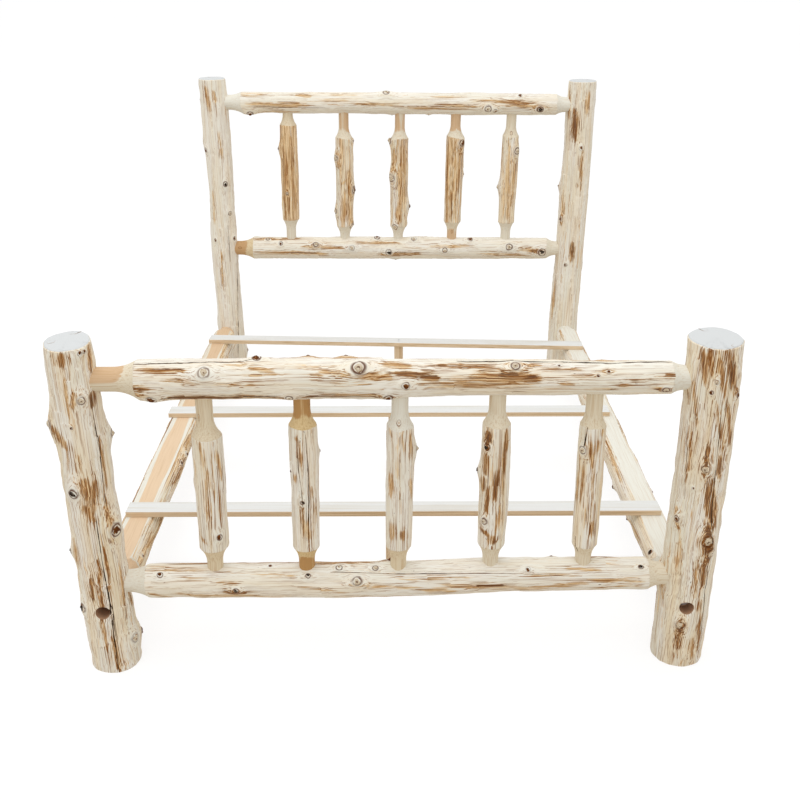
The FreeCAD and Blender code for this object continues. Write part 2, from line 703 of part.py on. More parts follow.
def bolt_length_formula(post_dia):
    return "%s + %s - %s + %s + %s / 2 + %s" % (
        cell("washer_thickness"), cell(post_dia), cell("access_hole_depth"),
        cell("barrel_nut_reach"), cell("barrel_nut_dia"), cell("bolt_end"),
    )


def pad_of(body, sketch, height):
    pad = body.newObject("PartDesign::Pad", body.Label + "_board")
    pad.Profile = sketch
    pad.setExpression("Length", height)
    doc.recompute()


def round_edges(body, direction, radius):
    # Ease the four long edges that run along one of the body's own axes.
    names = []
    for number, edge in enumerate(body.Shape.Edges, start=1):
        way = edge.Vertexes[-1].Point - edge.Vertexes[0].Point
        if abs(abs(way.normalize().dot(direction)) - 1) < PARALLEL_SHARE:
            names.append("Edge%d" % number)
    board = body.Tip
    fillet = body.newObject("PartDesign::Fillet", body.Label + "_eased")
    fillet.Base = (board, names)
    fillet.setExpression("Radius", radius)
    doc.recompute()


def screw_holes(body, leg_offset, start_height):
    # Two clearance holes side by side across the board.
    for way in (-1, 1):
        sketch = new_sketch(body, body.Label + "_screw")
        add_circle(sketch, "%s / 2 + %s" % (cell("leg_screw_dia"), cell("fit_gap")))
        sketch.setExpression("AttachmentOffset.Base.x", leg_offset)
        aside = "%s / 2 * %d" % (cell("leg_screw_pitch"), way)
        sketch.setExpression("AttachmentOffset.Base.y", aside)
        sketch.setExpression("AttachmentOffset.Base.z", start_height)
        doc.recompute()
        pocket = body.newObject("PartDesign::Pocket", body.Label + "_screw_hole")
        pocket.Profile = sketch
        pocket.Type = "ThroughAll"
        pocket.Reversed = True
        cut_and_compare(body, pocket)


def countersink(body):
    # The screw heads sit flush with the slat's top.
    top = size("slat_thickness")
    rims = []
    for number, edge in enumerate(body.Shape.Edges, start=1):
        round_edge = isinstance(edge.Curve, Part.Circle)
        if round_edge and abs(edge.BoundBox.ZMin - top) < size("fit_gap"):
            rims.append("Edge%d" % number)
    drilled = body.Tip
    chamfer = body.newObject("PartDesign::Chamfer", body.Label + "_countersink")
    chamfer.Base = (drilled, rims)
    head_depth = "(%s - %s) / 2" % (cell("leg_screw_head_dia"), cell("leg_screw_dia"))
    chamfer.setExpression("Size", head_depth)
    doc.recompute()


def screw(name, way):
    # A countersunk wood screw, its flat top at the own origin, pointing down.
    shank_radius = cell("leg_screw_dia") + " / 2"
    head_radius = cell("leg_screw_head_dia") + " / 2"
    head_height = "(%s - %s)" % (head_radius, shank_radius)
    head = doc.addObject("Part::Cone", name + "_head")
    head.setExpression("Radius1", shank_radius)
    head.setExpression("Radius2", head_radius)
    head.setExpression("Height", head_height)
    head.setExpression("Placement.Base.z", "-" + head_height)
    shank_length = "%s - %s - %s" % (
        cell("leg_screw_length"), cell("leg_screw_point"), head_height,
    )
    shank = cylinder(name + "_shank", shank_radius, shank_length)
    shank_foot = "%s - %s" % (cell("leg_screw_point"), cell("leg_screw_length"))
    shank.setExpression("Placement.Base.z", shank_foot)
    point = doc.addObject("Part::Cone", name + "_point")
    point.setExpression("Radius1", "%s * %s" % (shank_radius, SCREW_TIP_SHARE))
    point.setExpression("Radius2", shank_radius)
    point.setExpression("Height", cell("leg_screw_point"))
    point.setExpression("Placement.Base.z", "-" + cell("leg_screw_length"))
    whole = doc.addObject("Part::MultiFuse", name)
    whole.Shapes = [head, shank, point]
    whole.setExpression("Placement.Base.y", "%s / 2 * %d" % (cell("leg_screw_pitch"), way))
    return whole


def slat(place, y_place):
    # A loose board across the rails with a screwed-on centre leg.
    angle = 0
    if place == "rear":
        span = size("bed_width") + 2 * size("slat_overhang")
        angle = -math.degrees(math.asin(2 * size("rear_slat_skew") / span))
    turn = FreeCAD.Rotation(UP, angle)
    board = doc.addObject("PartDesign::Body", "slat_" + place)
    finish_part(board, "slat_" + place)
    outline = new_sketch(board, board.Label + "_outline")
    length = "(%s + 2 * %s)" % (cell("bed_width"), cell("slat_overhang"))
    width = cell("slat_width")
    add_rectangle(outline, length + " / 2", width + " / 2", length, width)
    pad_of(board, outline, cell("slat_thickness"))
    round_edges(board, ACROSS, cell("slat_edge_radius"))
    leg_offset = place + "_leg_offset"
    screw_holes(board, cell(leg_offset), "-" + cell("cut_overrun"))
    countersink(board)
    middle = Vector(size(place + "_slat_shift"), y_place, size("slat_seat_height"))
    board.Placement = FreeCAD.Placement(middle, turn)
    leg_top = board.Placement * Vector(size(leg_offset), 0, 0)

    leg = doc.addObject("PartDesign::Body", "slat_leg_" + place)
    finish_part(leg, "slat_leg_" + place)
    section = new_sketch(leg, leg.Label + "_outline")
    side = cell("leg_side")
    add_rectangle(section, side + " / 2", side + " / 2", side, side)
    pad_of(leg, section, cell("slat_seat_height"))
    round_edges(leg, UP, cell("leg_edge_radius"))
    hole_floor = "%s + %s - %s - %s" % (
        cell("slat_seat_height"), cell("slat_thickness"),
        cell("leg_screw_length"), cell("end_gap"),
    )
    screw_holes(leg, "0 * " + side, hole_floor)
    leg.Placement = FreeCAD.Placement(Vector(leg_top.x, leg_top.y, 0), turn)

    pair = doc.addObject("Part::Compound", "leg_screws_" + place)
    pair.Links = [
        screw("screw_%s_%d" % (place, number), way) for number, way in enumerate((-1, 1))
    ]
    pair.Placement = FreeCAD.Placement(leg_top + UP * size("slat_thickness"), turn)
    finish_part(pair, "leg_screws_" + place)


def build_bed():
    half_length = size("bed_length") / 2
    # The thicker foot posts move the middle of the floor area to the foot.
    foot_reach = max(size("foot_post_left_dia"), size("foot_post_right_dia"))
    head_reach = max(size("head_post_left_dia"), size("head_post_right_dia"))
    centring = (foot_reach - head_reach) / 4
    foot_y = centring - half_length
    head_y = centring + half_length
    half_width = size("bed_width") / 2
    foot_left, foot_right = end_board(
        "foot", foot_y, size("foot_centre_shift"), half_width,
        cell("bed_width"),
        (FOOT_POST_LEFT_SHARES, FOOT_POST_RIGHT_SHARES),
        (FOOT_BOTTOM_RAIL_SHARES, FOOT_TOP_RAIL_SHARES),
        FOOT_SPINDLE_SHARES,
    )
    head_left, head_right = end_board(
        "head", head_y, size("head_centre_shift"),
        half_width - size("head_inset"),
        "(%s - 2 * %s)" % (cell("bed_width"), cell("head_inset")),
        (HEAD_POST_LEFT_SHARES, HEAD_POST_RIGHT_SHARES),
        (HEAD_BOTTOM_RAIL_SHARES, HEAD_TOP_RAIL_SHARES),
        HEAD_SPINDLE_SHARES,
    )
    side_rail("left", SIDE_RAIL_LEFT_SHARES, foot_left, head_left)
    side_rail("right", SIDE_RAIL_RIGHT_SHARES, foot_right, head_right)
    slat("front", foot_y + size("front_slat_setback"))
    slat("middle", size("middle_slat_offset"))
    slat("rear", head_y - size("rear_slat_setback"))


def check_and_write():
    doc.recompute()
    for thing in doc.Objects:
        if "Invalid" in thing.State or "Error" in thing.State:
            raise RuntimeError(thing.Name + " did not compute")
    os.makedirs("parts", exist_ok=True)
    for part in parts:
        shape = part.Shape
        if shape.isNull() or not shape.isValid() or not shape.Solids:
            raise RuntimeError(part.Label + " is not a valid solid")
    for part in parts:
        part.Shape.exportStep("parts/%s.step" % part.Label)
        print(part.Label, len(part.Shape.Solids), round(part.Shape.Volume / 1e6, 4))


fill_sheet()
build_bed()
check_and_write()
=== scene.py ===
"""Rustic log bed: the visible pieces, their finishes and the stage."""

import math
from functools import partial

import bpy
import numpy as np
from mathutils import Matrix, Vector


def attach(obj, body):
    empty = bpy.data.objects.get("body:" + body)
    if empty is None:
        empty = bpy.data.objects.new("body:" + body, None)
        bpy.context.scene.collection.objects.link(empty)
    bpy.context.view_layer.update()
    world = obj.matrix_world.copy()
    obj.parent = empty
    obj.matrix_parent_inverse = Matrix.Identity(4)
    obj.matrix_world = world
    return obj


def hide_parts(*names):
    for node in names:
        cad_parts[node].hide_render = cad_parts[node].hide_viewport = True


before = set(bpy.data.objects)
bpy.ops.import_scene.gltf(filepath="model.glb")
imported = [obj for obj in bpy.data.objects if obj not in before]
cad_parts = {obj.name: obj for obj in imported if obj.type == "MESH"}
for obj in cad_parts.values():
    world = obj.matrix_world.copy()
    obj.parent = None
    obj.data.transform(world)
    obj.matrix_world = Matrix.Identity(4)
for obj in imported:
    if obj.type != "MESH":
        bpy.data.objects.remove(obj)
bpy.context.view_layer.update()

bl_info = {
    "name": "Rustic Log Bed",
    "version": (1, 0, 0),
    "blender": (4, 5, 0),
    "location": "View3D > Sidebar > Log Bed",
    "description": "Builds a peeled log bed with turned joints, loose slats and rail bolts",
    "category": "Add Mesh",
}

MM = 0.001
FRAME_BODY = "bed_frame"
SLAT_PLACES = ("front", "middle", "rear")
BOLT_PLACES = ("foot_left", "foot_right", "head_left", "head_right")

# Rings of each log: place along it, drift sideways and upward, and girth.
FOOT_POST_LEFT = (
    (0.00, 0.05, -0.06, 1.05), (0.18, 0.01, -0.02, 1.03), (0.38, 0.02, -0.02, 1.02),
    (0.58, 0.00, -0.01, 0.99), (0.72, 0.00, 0.01, 1.00), (0.82, -0.02, 0.01, 0.97),
    (0.92, -0.01, 0.00, 0.92), (1.00, -0.01, 0.00, 0.88),
)
FOOT_POST_RIGHT = (
    (0.00, 0.04, 0.11, 1.05), (0.20, 0.02, 0.05, 1.02), (0.40, 0.01, 0.02, 1.00),
    (0.60, 0.00, 0.00, 0.97), (0.80, -0.02, -0.01, 0.97), (0.92, -0.05, 0.00, 0.98),
    (1.00, -0.07, 0.00, 0.97),
)
HEAD_POST_LEFT = (
    (0.00, 0.00, 0.00, 1.06), (0.20, 0.00, 0.01, 1.03), (0.45, -0.02, 0.00, 1.01),
    (0.68, 0.045, -0.01, 0.955), (0.82, 0.02, 0.00, 1.015), (0.92, 0.02, 0.00, 1.02),
    (1.00, 0.00, 0.00, 0.975),
)
HEAD_POST_RIGHT = (
    (0.00, -0.045, 0.00, 1.075), (0.20, -0.04, 0.00, 1.05), (0.45, 0.00, 0.01, 1.01),
    (0.68, 0.025, 0.01, 1.02), (0.85, 0.03, 0.00, 0.985), (1.00, 0.035, 0.00, 0.945),
)
FOOT_TOP_RAIL = (
    (0.00, 0.00, 0.00, 0.98), (0.12, 0.00, -0.01, 1.05), (0.28, 0.01, 0.00, 1.05),
    (0.45, 0.01, 0.00, 1.06), (0.58, 0.00, 0.02, 0.97), (0.72, 0.00, 0.01, 0.93),
    (0.86, 0.00, 0.00, 0.87), (1.00, 0.00, 0.00, 0.86),
)
FOOT_BOTTOM_RAIL = (
    (0.00, 0.00, 0.00, 0.93), (0.15, 0.00, -0.02, 0.99), (0.38, 0.01, -0.08, 1.02),
    (0.52, 0.01, -0.07, 1.03), (0.68, 0.00, 0.02, 0.99), (0.84, 0.00, 0.02, 0.94),
    (1.00, 0.00, 0.00, 0.90),
)
HEAD_TOP_RAIL = (
    (0.00, 0.00, 0.00, 1.01), (0.25, 0.01, 0.00, 0.98), (0.50, 0.01, 0.01, 1.00),
    (0.72, 0.00, 0.00, 1.02), (1.00, 0.00, 0.00, 0.94),
)
HEAD_BOTTOM_RAIL = (
    (0.00, 0.00, 0.00, 1.00), (0.25, 0.00, 0.01, 1.02), (0.50, -0.01, 0.01, 1.02),
    (0.75, 0.00, 0.00, 1.01), (1.00, 0.00, 0.00, 0.92),
)
SIDE_RAIL_LEFT = (
    (0.00, 0.00, 0.00, 1.00), (0.25, 0.01, 0.03, 1.01), (0.50, 0.03, 0.04, 1.00),
    (0.75, 0.01, 0.02, 0.98), (1.00, 0.00, 0.00, 0.96),
)
SIDE_RAIL_RIGHT = (
    (0.00, 0.00, 0.00, 1.01), (0.25, 0.01, -0.03, 1.00), (0.50, 0.02, -0.04, 0.99),
    (0.75, 0.00, -0.02, 0.98), (1.00, 0.00, 0.00, 0.96),
)
SPINDLE = (
    (0.00, 0.00, 0.00, 0.96), (0.26, 0.01, 0.00, 1.00), (0.50, 0.02, 0.01, 1.02),
    (0.74, 0.01, 0.00, 0.99), (1.00, 0.00, 0.00, 0.95),
)

# Lines of the two end boards along the bed, and of the side rails: across the bed
# and above the floor, in mm.
FOOT_LINE = -1086.25
HEAD_LINE = 1093.75
SIDE_LINES = {"left": (-822, 205), "right": (810, 210)}

# Each log in millimetres: kind, both ends of its axis, diameter, rings, the
# bare tenon outside the joint at either end, how much inner bark is left on it
# (0 to 1), and its heartwood: radius in the near and the far half, how far its
# pith lies off the axis sideways and upward, and how golden either half is (0 to 1).
LOGS = {
    "foot_post_left": (
        "post", (-829, FOOT_LINE, 0), (-829, FOOT_LINE, 990), 134, FOOT_POST_LEFT,
        (0, 0), 0.16, (30, 30, 0, 0, 0, 0)),
    "foot_post_right": (
        "post", (817, FOOT_LINE, 0), (817, FOOT_LINE, 991), 143, FOOT_POST_RIGHT,
        (0, 0), 0.18, (30, 30, 0, 0, 0, 0)),
    "head_post_left": (
        "post", (-808, HEAD_LINE, 0), (-808, HEAD_LINE, 1380), 119, HEAD_POST_LEFT,
        (0, 0), 0.06, (28, 28, 0, 0, 0, 0)),
    "head_post_right": (
        "post", (816, HEAD_LINE, 0), (816, HEAD_LINE, 1367), 128, HEAD_POST_RIGHT,
        (0, 0), 0.12, (28, 28, 0, 0, 0, 0)),
    "footboard_top_rail": (
        "cross", (-810, FOOT_LINE, 885.51), (793.5, FOOT_LINE, 886.49), 100, FOOT_TOP_RAIL,
        (34, 4), 0.08, (31, 10, 0, 6, 0.4, 0)),
    "footboard_bottom_rail": (
        "cross", (-810, FOOT_LINE, 264.74), (793.37, FOOT_LINE, 285.2), 98, FOOT_BOTTOM_RAIL,
        (3, 1), 0.05, (14, 31, 0, 0, 0.1, 0.35)),
    "headboard_top_rail": (
        "cross", (-796.5, HEAD_LINE, 1277.9), (799.94, HEAD_LINE, 1264.14), 92, HEAD_TOP_RAIL,
        (10, 2), 0.08, (10, 10, 0, 0, 0, 0)),
    "headboard_bottom_rail": (
        "cross", (-796.5, HEAD_LINE, 615.96), (799.99, HEAD_LINE, 610.06), 100, HEAD_BOTTOM_RAIL,
        (14, 2), 0.05, (36, 14, 0, 0, 0.75, 0.2)),
    "side_rail_left": (
        "side", (-822, -1061.25, 205), (-822, 1076.25, 205), 114, SIDE_RAIL_LEFT,
        (6, 6), 0.45, (52.5, 52.5, 0, 0, 0, 0.2)),
    "side_rail_right": (
        "side", (810, -1056.75, 210), (810, 1071.75, 210), 108, SIDE_RAIL_RIGHT,
        (6, 6), 0.15, (18, 18, 0, 0, 0, 0)),
    "footboard_spindle_1": (
        "spindle", (-510.75, FOOT_LINE, 283.56), (-499.25, FOOT_LINE, 869.51), 81.6, SPINDLE,
        (14, 58.8), 0.10, (20, 14, 0, 0, 0.6, 0.5)),
    "footboard_spindle_2": (
        "spindle", (-253.46, FOOT_LINE, 286.84), (-245.54, FOOT_LINE, 869.75), 75.5, SPINDLE,
        (14, 33.6), 0.10, (25, 25, 0, 0, 1, 1)),
    "footboard_spindle_3": (
        "spindle", (2.68, FOOT_LINE, 290.11), (9.32, FOOT_LINE, 869.93), 72.4, SPINDLE,
        (14, 37.8), 0.07, (14, 8, 0, 0, 0.6, 0.05)),
    "footboard_spindle_4": (
        "spindle", (260.73, FOOT_LINE, 293.4), (262.27, FOOT_LINE, 870.15), 77.8, SPINDLE,
        (14, 31.9), 0.16, (18, 16, -3, 0, 0.4, 0.4)),
    "footboard_spindle_5": (
        "spindle", (520.83, FOOT_LINE, 296.72), (513.17, FOOT_LINE, 870.32), 70.8, SPINDLE,
        (14, 39.9), 0.20, (18, 18, 0, 0, 0.45, 0.45)),
    "headboard_spindle_1": (
        "spindle", (-493.38, HEAD_LINE, 630.84), (-482.63, HEAD_LINE, 1263.14), 78, SPINDLE,
        (40.6, 2.1), 0.80, (18, 20, 0, 0, 0.2, 0.5)),
    "headboard_spindle_2": (
        "spindle", (-241.88, HEAD_LINE, 629.91), (-234.13, HEAD_LINE, 1261.04), 78.8, SPINDLE,
        (8.4, 54.6), 0.33, (16, 22, 3, 0, 0.2, 0.35)),
    "headboard_spindle_3": (
        "spindle", (6.62, HEAD_LINE, 628.99), (17.37, HEAD_LINE, 1258.86), 78, SPINDLE,
        (8.4, 54.6), 0.30, (12, 22, 0, 0, 0.2, 0.3)),
    "headboard_spindle_4": (
        "spindle", (257.12, HEAD_LINE, 628.06), (266.88, HEAD_LINE, 1256.74), 79.6, SPINDLE,
        (29.4, 44.1), 0.50, (24, 24, 0, 0, 0.35, 0.3)),
    "headboard_spindle_5": (
        "spindle", (509, HEAD_LINE, 627.13), (515, HEAD_LINE, 1254.64), 75.7, SPINDLE,
        (29.4, 44.1), 0.30, (14, 20, 0, 0, 0.2, 0.35)),
}

# Kinds of log: the axis that counts as sideways, the tenon's radius and depth
# in the joint, the hollow curve at the near and far shoulder, points round it.
KINDS = {
    "post": ((1, 0, 0), None, 0, (0, 0), 120),
    "cross": ((0, 1, 0), 32, 48, (118, 72), 104),
    "side": ((-1, 0, 0), 36, 42, (118, 118), 112),
    "spindle": ((1, 0, 0), 22, 34, (80, 80), 72),
}
# Height of the sawn flats that carry the slats, and how near to it a point of the
# skin counts as lying on the flat.
SLAT_SEAT = 250
FLAT_SNAP = 2
# One column of points in this many lies on the sawn flat.
FLAT_COLUMNS = 5
# Eased edges of a post's top and of the other ends, and a post's lowest row.
POST_CHAMFER = 4
END_EASE = 1.5
POST_FIRST_ROW = 3
# Rings of points that close an end, as shares of its radius.
CAP_SHARES = (0.94, 0.85, 0.72, 0.58, 0.44, 0.3, 0.16, 0.05)
GROWTH_RING = 3.8
# Sawn tops of the foot posts: raised in the middle, and higher at the back.
POST_TOPS = {"foot_post_left": (1.5, 6.5), "foot_post_right": (4, 4)}
TOP_REACH = 60

# What the photo shows on each log, by places in mm along it and angles in degrees
# from its sideways axis toward its upward axis. Knots: place, angle, size in mm and
# kind (1 sound, 2 dead, 3 barked, 4 a dark speck). Patches of inner bark: first and
# last place, first and last angle, width in mm, and tone (1 is plain, more is
# darker). Cracks: greatest width in mm, then the places and angles they run through.
FEATURES = {
    "foot_post_left": {
        "knots": (
            (852, 301, 21, 1), (588, 253, 28, 2), (459, 331, 36, 3), (385, 202, 24, 2),
            (212, 226, 27, 2), (89, 339, 28, 1), (975, 314, 13, 4), (976, 326, 10, 4),
            (777, 271, 8, 4), (771, 202, 30, 1), (718, 18, 25, 1),
        ),
        "bark": (
            (942, 985, 266, 271, 25, 1), (914, 988, 342, 348, 11, 1.1),
            (832, 876, 282, 287, 11, 1), (819, 867, 327, 332, 19, 1.5),
            (711, 777, 248, 216, 26, 1.1), (560, 633, 287, 280, 31, 1),
            (517, 622, 287, 303, 24, 1.25), (498, 552, 287, 271, 19, 0.9),
            (428, 565, 319, 321, 14, 0.9), (340, 442, 226, 222, 10, 0.8),
            (246, 323, 256, 261, 9, 1.4), (74, 378, 269, 281, 10, 1.1), (6, 121, 290, 288, 15, 1),
            (4, 148, 201, 202, 10, 0.7), (183, 297, 357, 344, 8, 0.9),
            (802, 913, 270, 271, 7, 0.7), (578, 728, 331, 329, 7, 1.1),
            (627, 702, 280, 271, 7, 0.6), (240, 422, 301, 299, 8, 1),
            (154, 356, 328, 331, 8, 0.9),
        ),
        "cracks": (
            (3.5, (531, 322), (577, 321), (713, 324), (779, 325), (866, 327)),
            (3.2, (-5, 289), (250, 294), (377, 290), (537, 293)), (1.6, (103, 298), (274, 299)),
        ),
    },
    "foot_post_right": {
        "knots": (
            (904, 262, 13, 1), (875, 253, 11, 4), (657, 259, 22, 1), (439, 281, 34, 1),
            (400, 292, 26, 1), (156, 253, 24, 1), (859, 314, 13, 3), (490, 215, 17, 3),
            (595, 239, 8, 4),
        ),
        "bark": (
            (882, 985, 243, 226, 16, 1.3), (908, 987, 254, 242, 8, 1.2),
            (854, 989, 284, 257, 12, 1), (852, 992, 312, 278, 23, 1.35),
            (714, 853, 315, 286, 16, 1.3), (741, 854, 284, 263, 6, 1),
            (636, 722, 259, 259, 12, 1.55), (470, 636, 286, 264, 14, 1.25),
            (474, 624, 293, 278, 11, 1.5), (622, 696, 292, 290, 14, 1.5),
            (470, 561, 299, 292, 10, 1.2), (350, 486, 290, 279, 22, 1.6),
            (281, 396, 288, 287, 23, 1.35), (835, 947, 204, 162, 10, 0.9),
            (613, 784, 224, 214, 6, 0.8), (456, 524, 221, 205, 10, 0.8),
            (60, 172, 254, 254, 13, 1.6), (39, 240, 309, 291, 9, 1.3),
            (243, 376, 276, 269, 10, 0.8), (210, 334, 201, 187, 9, 0.7),
            (763, 895, 231, 213, 6, 0.8), (650, 797, 296, 289, 6, 1.1),
            (24, 104, 289, 286, 9, 0.9),
        ),
        "cracks": (
            (1.3, (552, 224), (784, 204)), (2.2, (36, 314), (235, 303), (624, 282), (854, 277)),
        ),
    },
    "footboard_top_rail": {
        "knots": (
            (186, 223, 26, 3), (326, 142, 28, 1), (454, 93, 23, 3), (538, 216, 18, 1),
            (715, 130, 32, 1), (834, 180, 20, 3), (788, 218, 23, 3), (1109, 124, 23, 1),
            (1221, 117, 8, 4), (1345, 138, 10, 4), (1319, 151, 8, 4), (1494, 201, 18, 1),
        ),
        "bark": (
            (172, 280, 133, 133, 6, 1.15), (126, 189, 183, 183, 10, 1.05),
            (436, 509, 124, 143, 15, 0.6), (269, 473, 224, 213, 10, 1.5),
            (612, 698, 138, 150, 11, 0.85), (703, 799, 147, 156, 15, 0.85),
            (771, 849, 115, 122, 17, 0.85), (804, 872, 141, 148, 13, 1.7),
            (867, 919, 150, 165, 18, 1.7), (590, 628, 149, 150, 6, 1.15),
            (439, 472, 149, 149, 6, 1.15), (618, 778, 209, 210, 4, 1.15),
            (872, 1045, 174, 175, 10, 0.85), (990, 1178, 157, 157, 38, 1.2),
            (1055, 1128, 151, 152, 25, 1.75), (872, 1129, 187, 184, 4, 0.85),
            (1169, 1278, 127, 131, 4, 0.75), (1328, 1365, 136, 136, 6, 1.05),
            (1214, 1262, 178, 179, 6, 0.95), (1395, 1455, 164, 164, 4, 1.05),
            (1488, 1516, 152, 152, 6, 1.15), (1371, 1417, 185, 186, 4, 0.85),
            (1443, 1507, 196, 197, 6, 0.85), (141, 214, 126, 126, 4, 0.65),
            (215, 316, 162, 166, 4, 0.75), (341, 466, 172, 175, 4, 0.65),
            (364, 435, 116, 117, 6, 0.65), (642, 748, 173, 173, 4, 0.65),
            (880, 1060, 118, 122, 8, 0.95), (1075, 1180, 116, 118, 7, 0.9),
            (1251, 1322, 152, 152, 4, 0.6), (1282, 1375, 199, 200, 4, 0.65),
            (130, 186, 205, 206, 6, 0.85), (225, 420, 223, 220, 13, 1.75),
            (420, 530, 222, 220, 5, 1.4), (560, 780, 221, 216, 7, 1.5),
        ),
        "cracks": (
            (3.8, (143, 109), (285, 107), (450, 100)), (6, (960, 99), (1240, 98), (1513, 95)),
            # These two dark lines low on the rail follow real dark lines along its underside,
            # drawn wider to paint the shade under the rail as well.
            (2.4, (550, 221), (680, 219), (785, 214)),
            (3.4, (205, 222), (300, 220), (420, 218), (525, 216)),
        ),
    },
    "footboard_bottom_rail": {
        "knots": (
            (361, 180, 17, 2), (562, 133, 14, 2), (648, 109, 17, 1), (750, 111, 17, 1),
            (699, 151, 25, 1), (1174, 130, 14, 3), (1246, 63, 14, 3), (1489, 125, 15, 2),
            (150, 129, 15, 4), (454, 96, 11, 4),
        ),
        "bark": (
            (112, 186, 191, 234, 8, 0.95), (197, 520, 199, 218, 10, 0.75),
            (322, 391, 187, 189, 12, 1.5), (92, 344, 110, 115, 4, 0.5),
            (304, 373, 154, 155, 4, 0.5), (1162, 1326, 149, 152, 4, 0.75),
            (671, 901, 160, 183, 8, 0.55), (884, 976, 191, 193, 14, 0.7),
            (929, 1209, 175, 205, 13, 0.65), (1026, 1107, 183, 185, 9, 1.6),
            (1275, 1380, 128, 136, 8, 0.5), (1334, 1503, 165, 179, 10, 0.7),
            (1153, 1346, 203, 179, 12, 0.75), (1346, 1497, 210, 191, 8, 0.75),
            (1099, 1268, 234, 234, 6, 0.85), (401, 540, 127, 132, 4, 0.5),
            (540, 678, 168, 191, 6, 0.5), (790, 1012, 146, 153, 4, 0.5),
            (111, 173, 93, 94, 4, 0.5), (621, 930, 213, 234, 6, 0.75),
            (206, 301, 140, 141, 4, 0.5),
        ),
        "cracks": (
            (1.8, (623, 122), (818, 130), (1163, 144)), (1.4, (1163, 146), (1326, 155)),
        ),
    },
    "footboard_spindle_1": {
        "knots": (
            (148, 302, 17, 3), (500, 236, 18, 3),
        ),
        "bark": (
            (358, 446, 261, 254, 7, 0.5), (310, 412, 335, 315, 10, 0.8),
            (205, 418, 262, 270, 4, 0.6), (266, 402, 293, 294, 4, 0.5),
            (124, 148, 250, 220, 8, 0.6), (173, 267, 278, 275, 4, 0.5),
            (511, 549, 272, 257, 5, 0.9), (198, 293, 316, 312, 5, 0.6),
            (298, 359, 281, 276, 4, 0.8),
        ),
        "cracks": (),
    },
    "footboard_spindle_2": {
        "knots": (
            (255, 263, 14, 2), (339, 210, 8, 4),
        ),
        "bark": (
            (134, 199, 287, 269, 18, 0.85), (129, 256, 315, 310, 10, 0.75),
            (437, 448, 247, 245, 6, 0.85), (309, 334, 233, 234, 6, 0.85),
            (167, 245, 264, 259, 6, 1.05), (258, 301, 306, 303, 6, 0.75),
            (353, 441, 264, 260, 4, 0.85),
        ),
        "cracks": (
            (2.6, (132, 284), (260, 290), (352, 290), (458, 285)),
            (1.8, (167, 266), (261, 264), (352, 251), (452, 252)),
        ),
    },
    "footboard_spindle_3": {
        "knots": (
            (482, 264, 17, 1), (392, 12, 30, 1),
        ),
        "bark": (
            (438, 464, 231, 219, 8, 0.6), (400, 445, 289, 281, 6, 0.5),
            (369, 467, 328, 311, 8, 0.7), (258, 336, 233, 227, 13, 0.5),
            (245, 316, 334, 322, 9, 0.6), (126, 183, 235, 234, 13, 0.6),
            (126, 159, 289, 280, 13, 1), (317, 421, 260, 255, 4, 0.4),
            (210, 287, 275, 269, 4, 0.35),
        ),
        "cracks": (),
    },
    "footboard_spindle_4": {
        "knots": (
            (410, 231, 18, 2), (322, 175, 19, 2), (185, 232, 19, 1),
        ),
        "bark": (
            (417, 455, 231, 228, 18, 1.8), (321, 390, 225, 225, 18, 1.3),
            (270, 319, 218, 220, 18, 1.2), (200, 297, 238, 241, 14, 1.3),
            (247, 345, 268, 274, 14, 1.1), (394, 464, 310, 308, 11, 1),
            (251, 432, 297, 296, 7, 0.9), (136, 156, 250, 215, 21, 1.3),
            (111, 144, 268, 274, 19, 1.3), (143, 237, 282, 289, 9, 0.9),
        ),
        "cracks": (
            (1.3, (188, 302), (454, 299)),
        ),
    },
    "footboard_spindle_5": {
        "knots": (
            (394, 224, 21, 1),
        ),
        "bark": (
            (363, 371, 209, 253, 13, 1.3), (242, 349, 226, 228, 6, 1.1),
            (339, 427, 269, 251, 9, 0.9), (391, 427, 289, 290, 9, 0.8),
            (126, 183, 288, 291, 11, 1.1), (152, 247, 250, 253, 6, 0.9),
            (235, 327, 201, 201, 6, 0.7), (247, 339, 279, 277, 6, 0.8),
            (433, 459, 304, 306, 6, 1),
        ),
        "cracks": (
            (3.5, (403, 229), (461, 235)), (2.6, (72, 223), (127, 211)),
        ),
    },
    "head_post_left": {
        "knots": (
            (927, 297, 24, 2), (792, 312, 19, 1), (667, 239, 14, 3), (671, 328, 19, 3),
            (1077, 222, 19, 4),
        ),
        "bark": (
            (1244, 1357, 257, 248, 16, 0.9), (1278, 1337, 285, 281, 10, 0.7),
            (1035, 1167, 292, 289, 10, 0.6), (738, 899, 235, 234, 10, 0.6),
            (427, 622, 260, 265, 10, 0.5),
        ),
        "cracks": (
            (2.9, (81, 300), (369, 323), (567, 341)), (1.6, (562, 302), (738, 301)),
        ),
    },
    "head_post_right": {
        "knots": (
            (1086, 272, 19, 3), (758, 210, 19, 3), (546, 250, 14, 4),
        ),
        "bark": (
            (1107, 1257, 247, 237, 28, 1.7), (1203, 1329, 212, 198, 13, 1),
            (1228, 1334, 287, 287, 17, 0.8), (730, 892, 213, 210, 11, 1),
            (561, 657, 270, 268, 14, 1.3), (259, 462, 202, 204, 17, 0.7),
            (898, 1077, 281, 281, 11, 0.8),
        ),
        "cracks": (
            (1.6, (566, 278), (657, 274)), (1.4, (725, 210), (781, 211)),
        ),
    },
    "headboard_top_rail": {
        "knots": (
            (752, 114, 28, 1), (1201, 194, 28, 1), (1232, 205, 18, 1), (1341, 124, 19, 3),
            (1430, 197, 28, 2), (151, 234, 28, 3),
        ),
        "bark": (
            (129, 418, 181, 189, 17, 0.4), (352, 427, 128, 134, 17, 0.55),
            (427, 594, 152, 161, 8, 0.35), (594, 813, 177, 181, 8, 0.45),
            (945, 1112, 135, 133, 11, 0.55), (813, 1122, 197, 200, 8, 0.55),
            (1120, 1428, 152, 165, 8, 0.85), (1275, 1455, 177, 186, 14, 0.95),
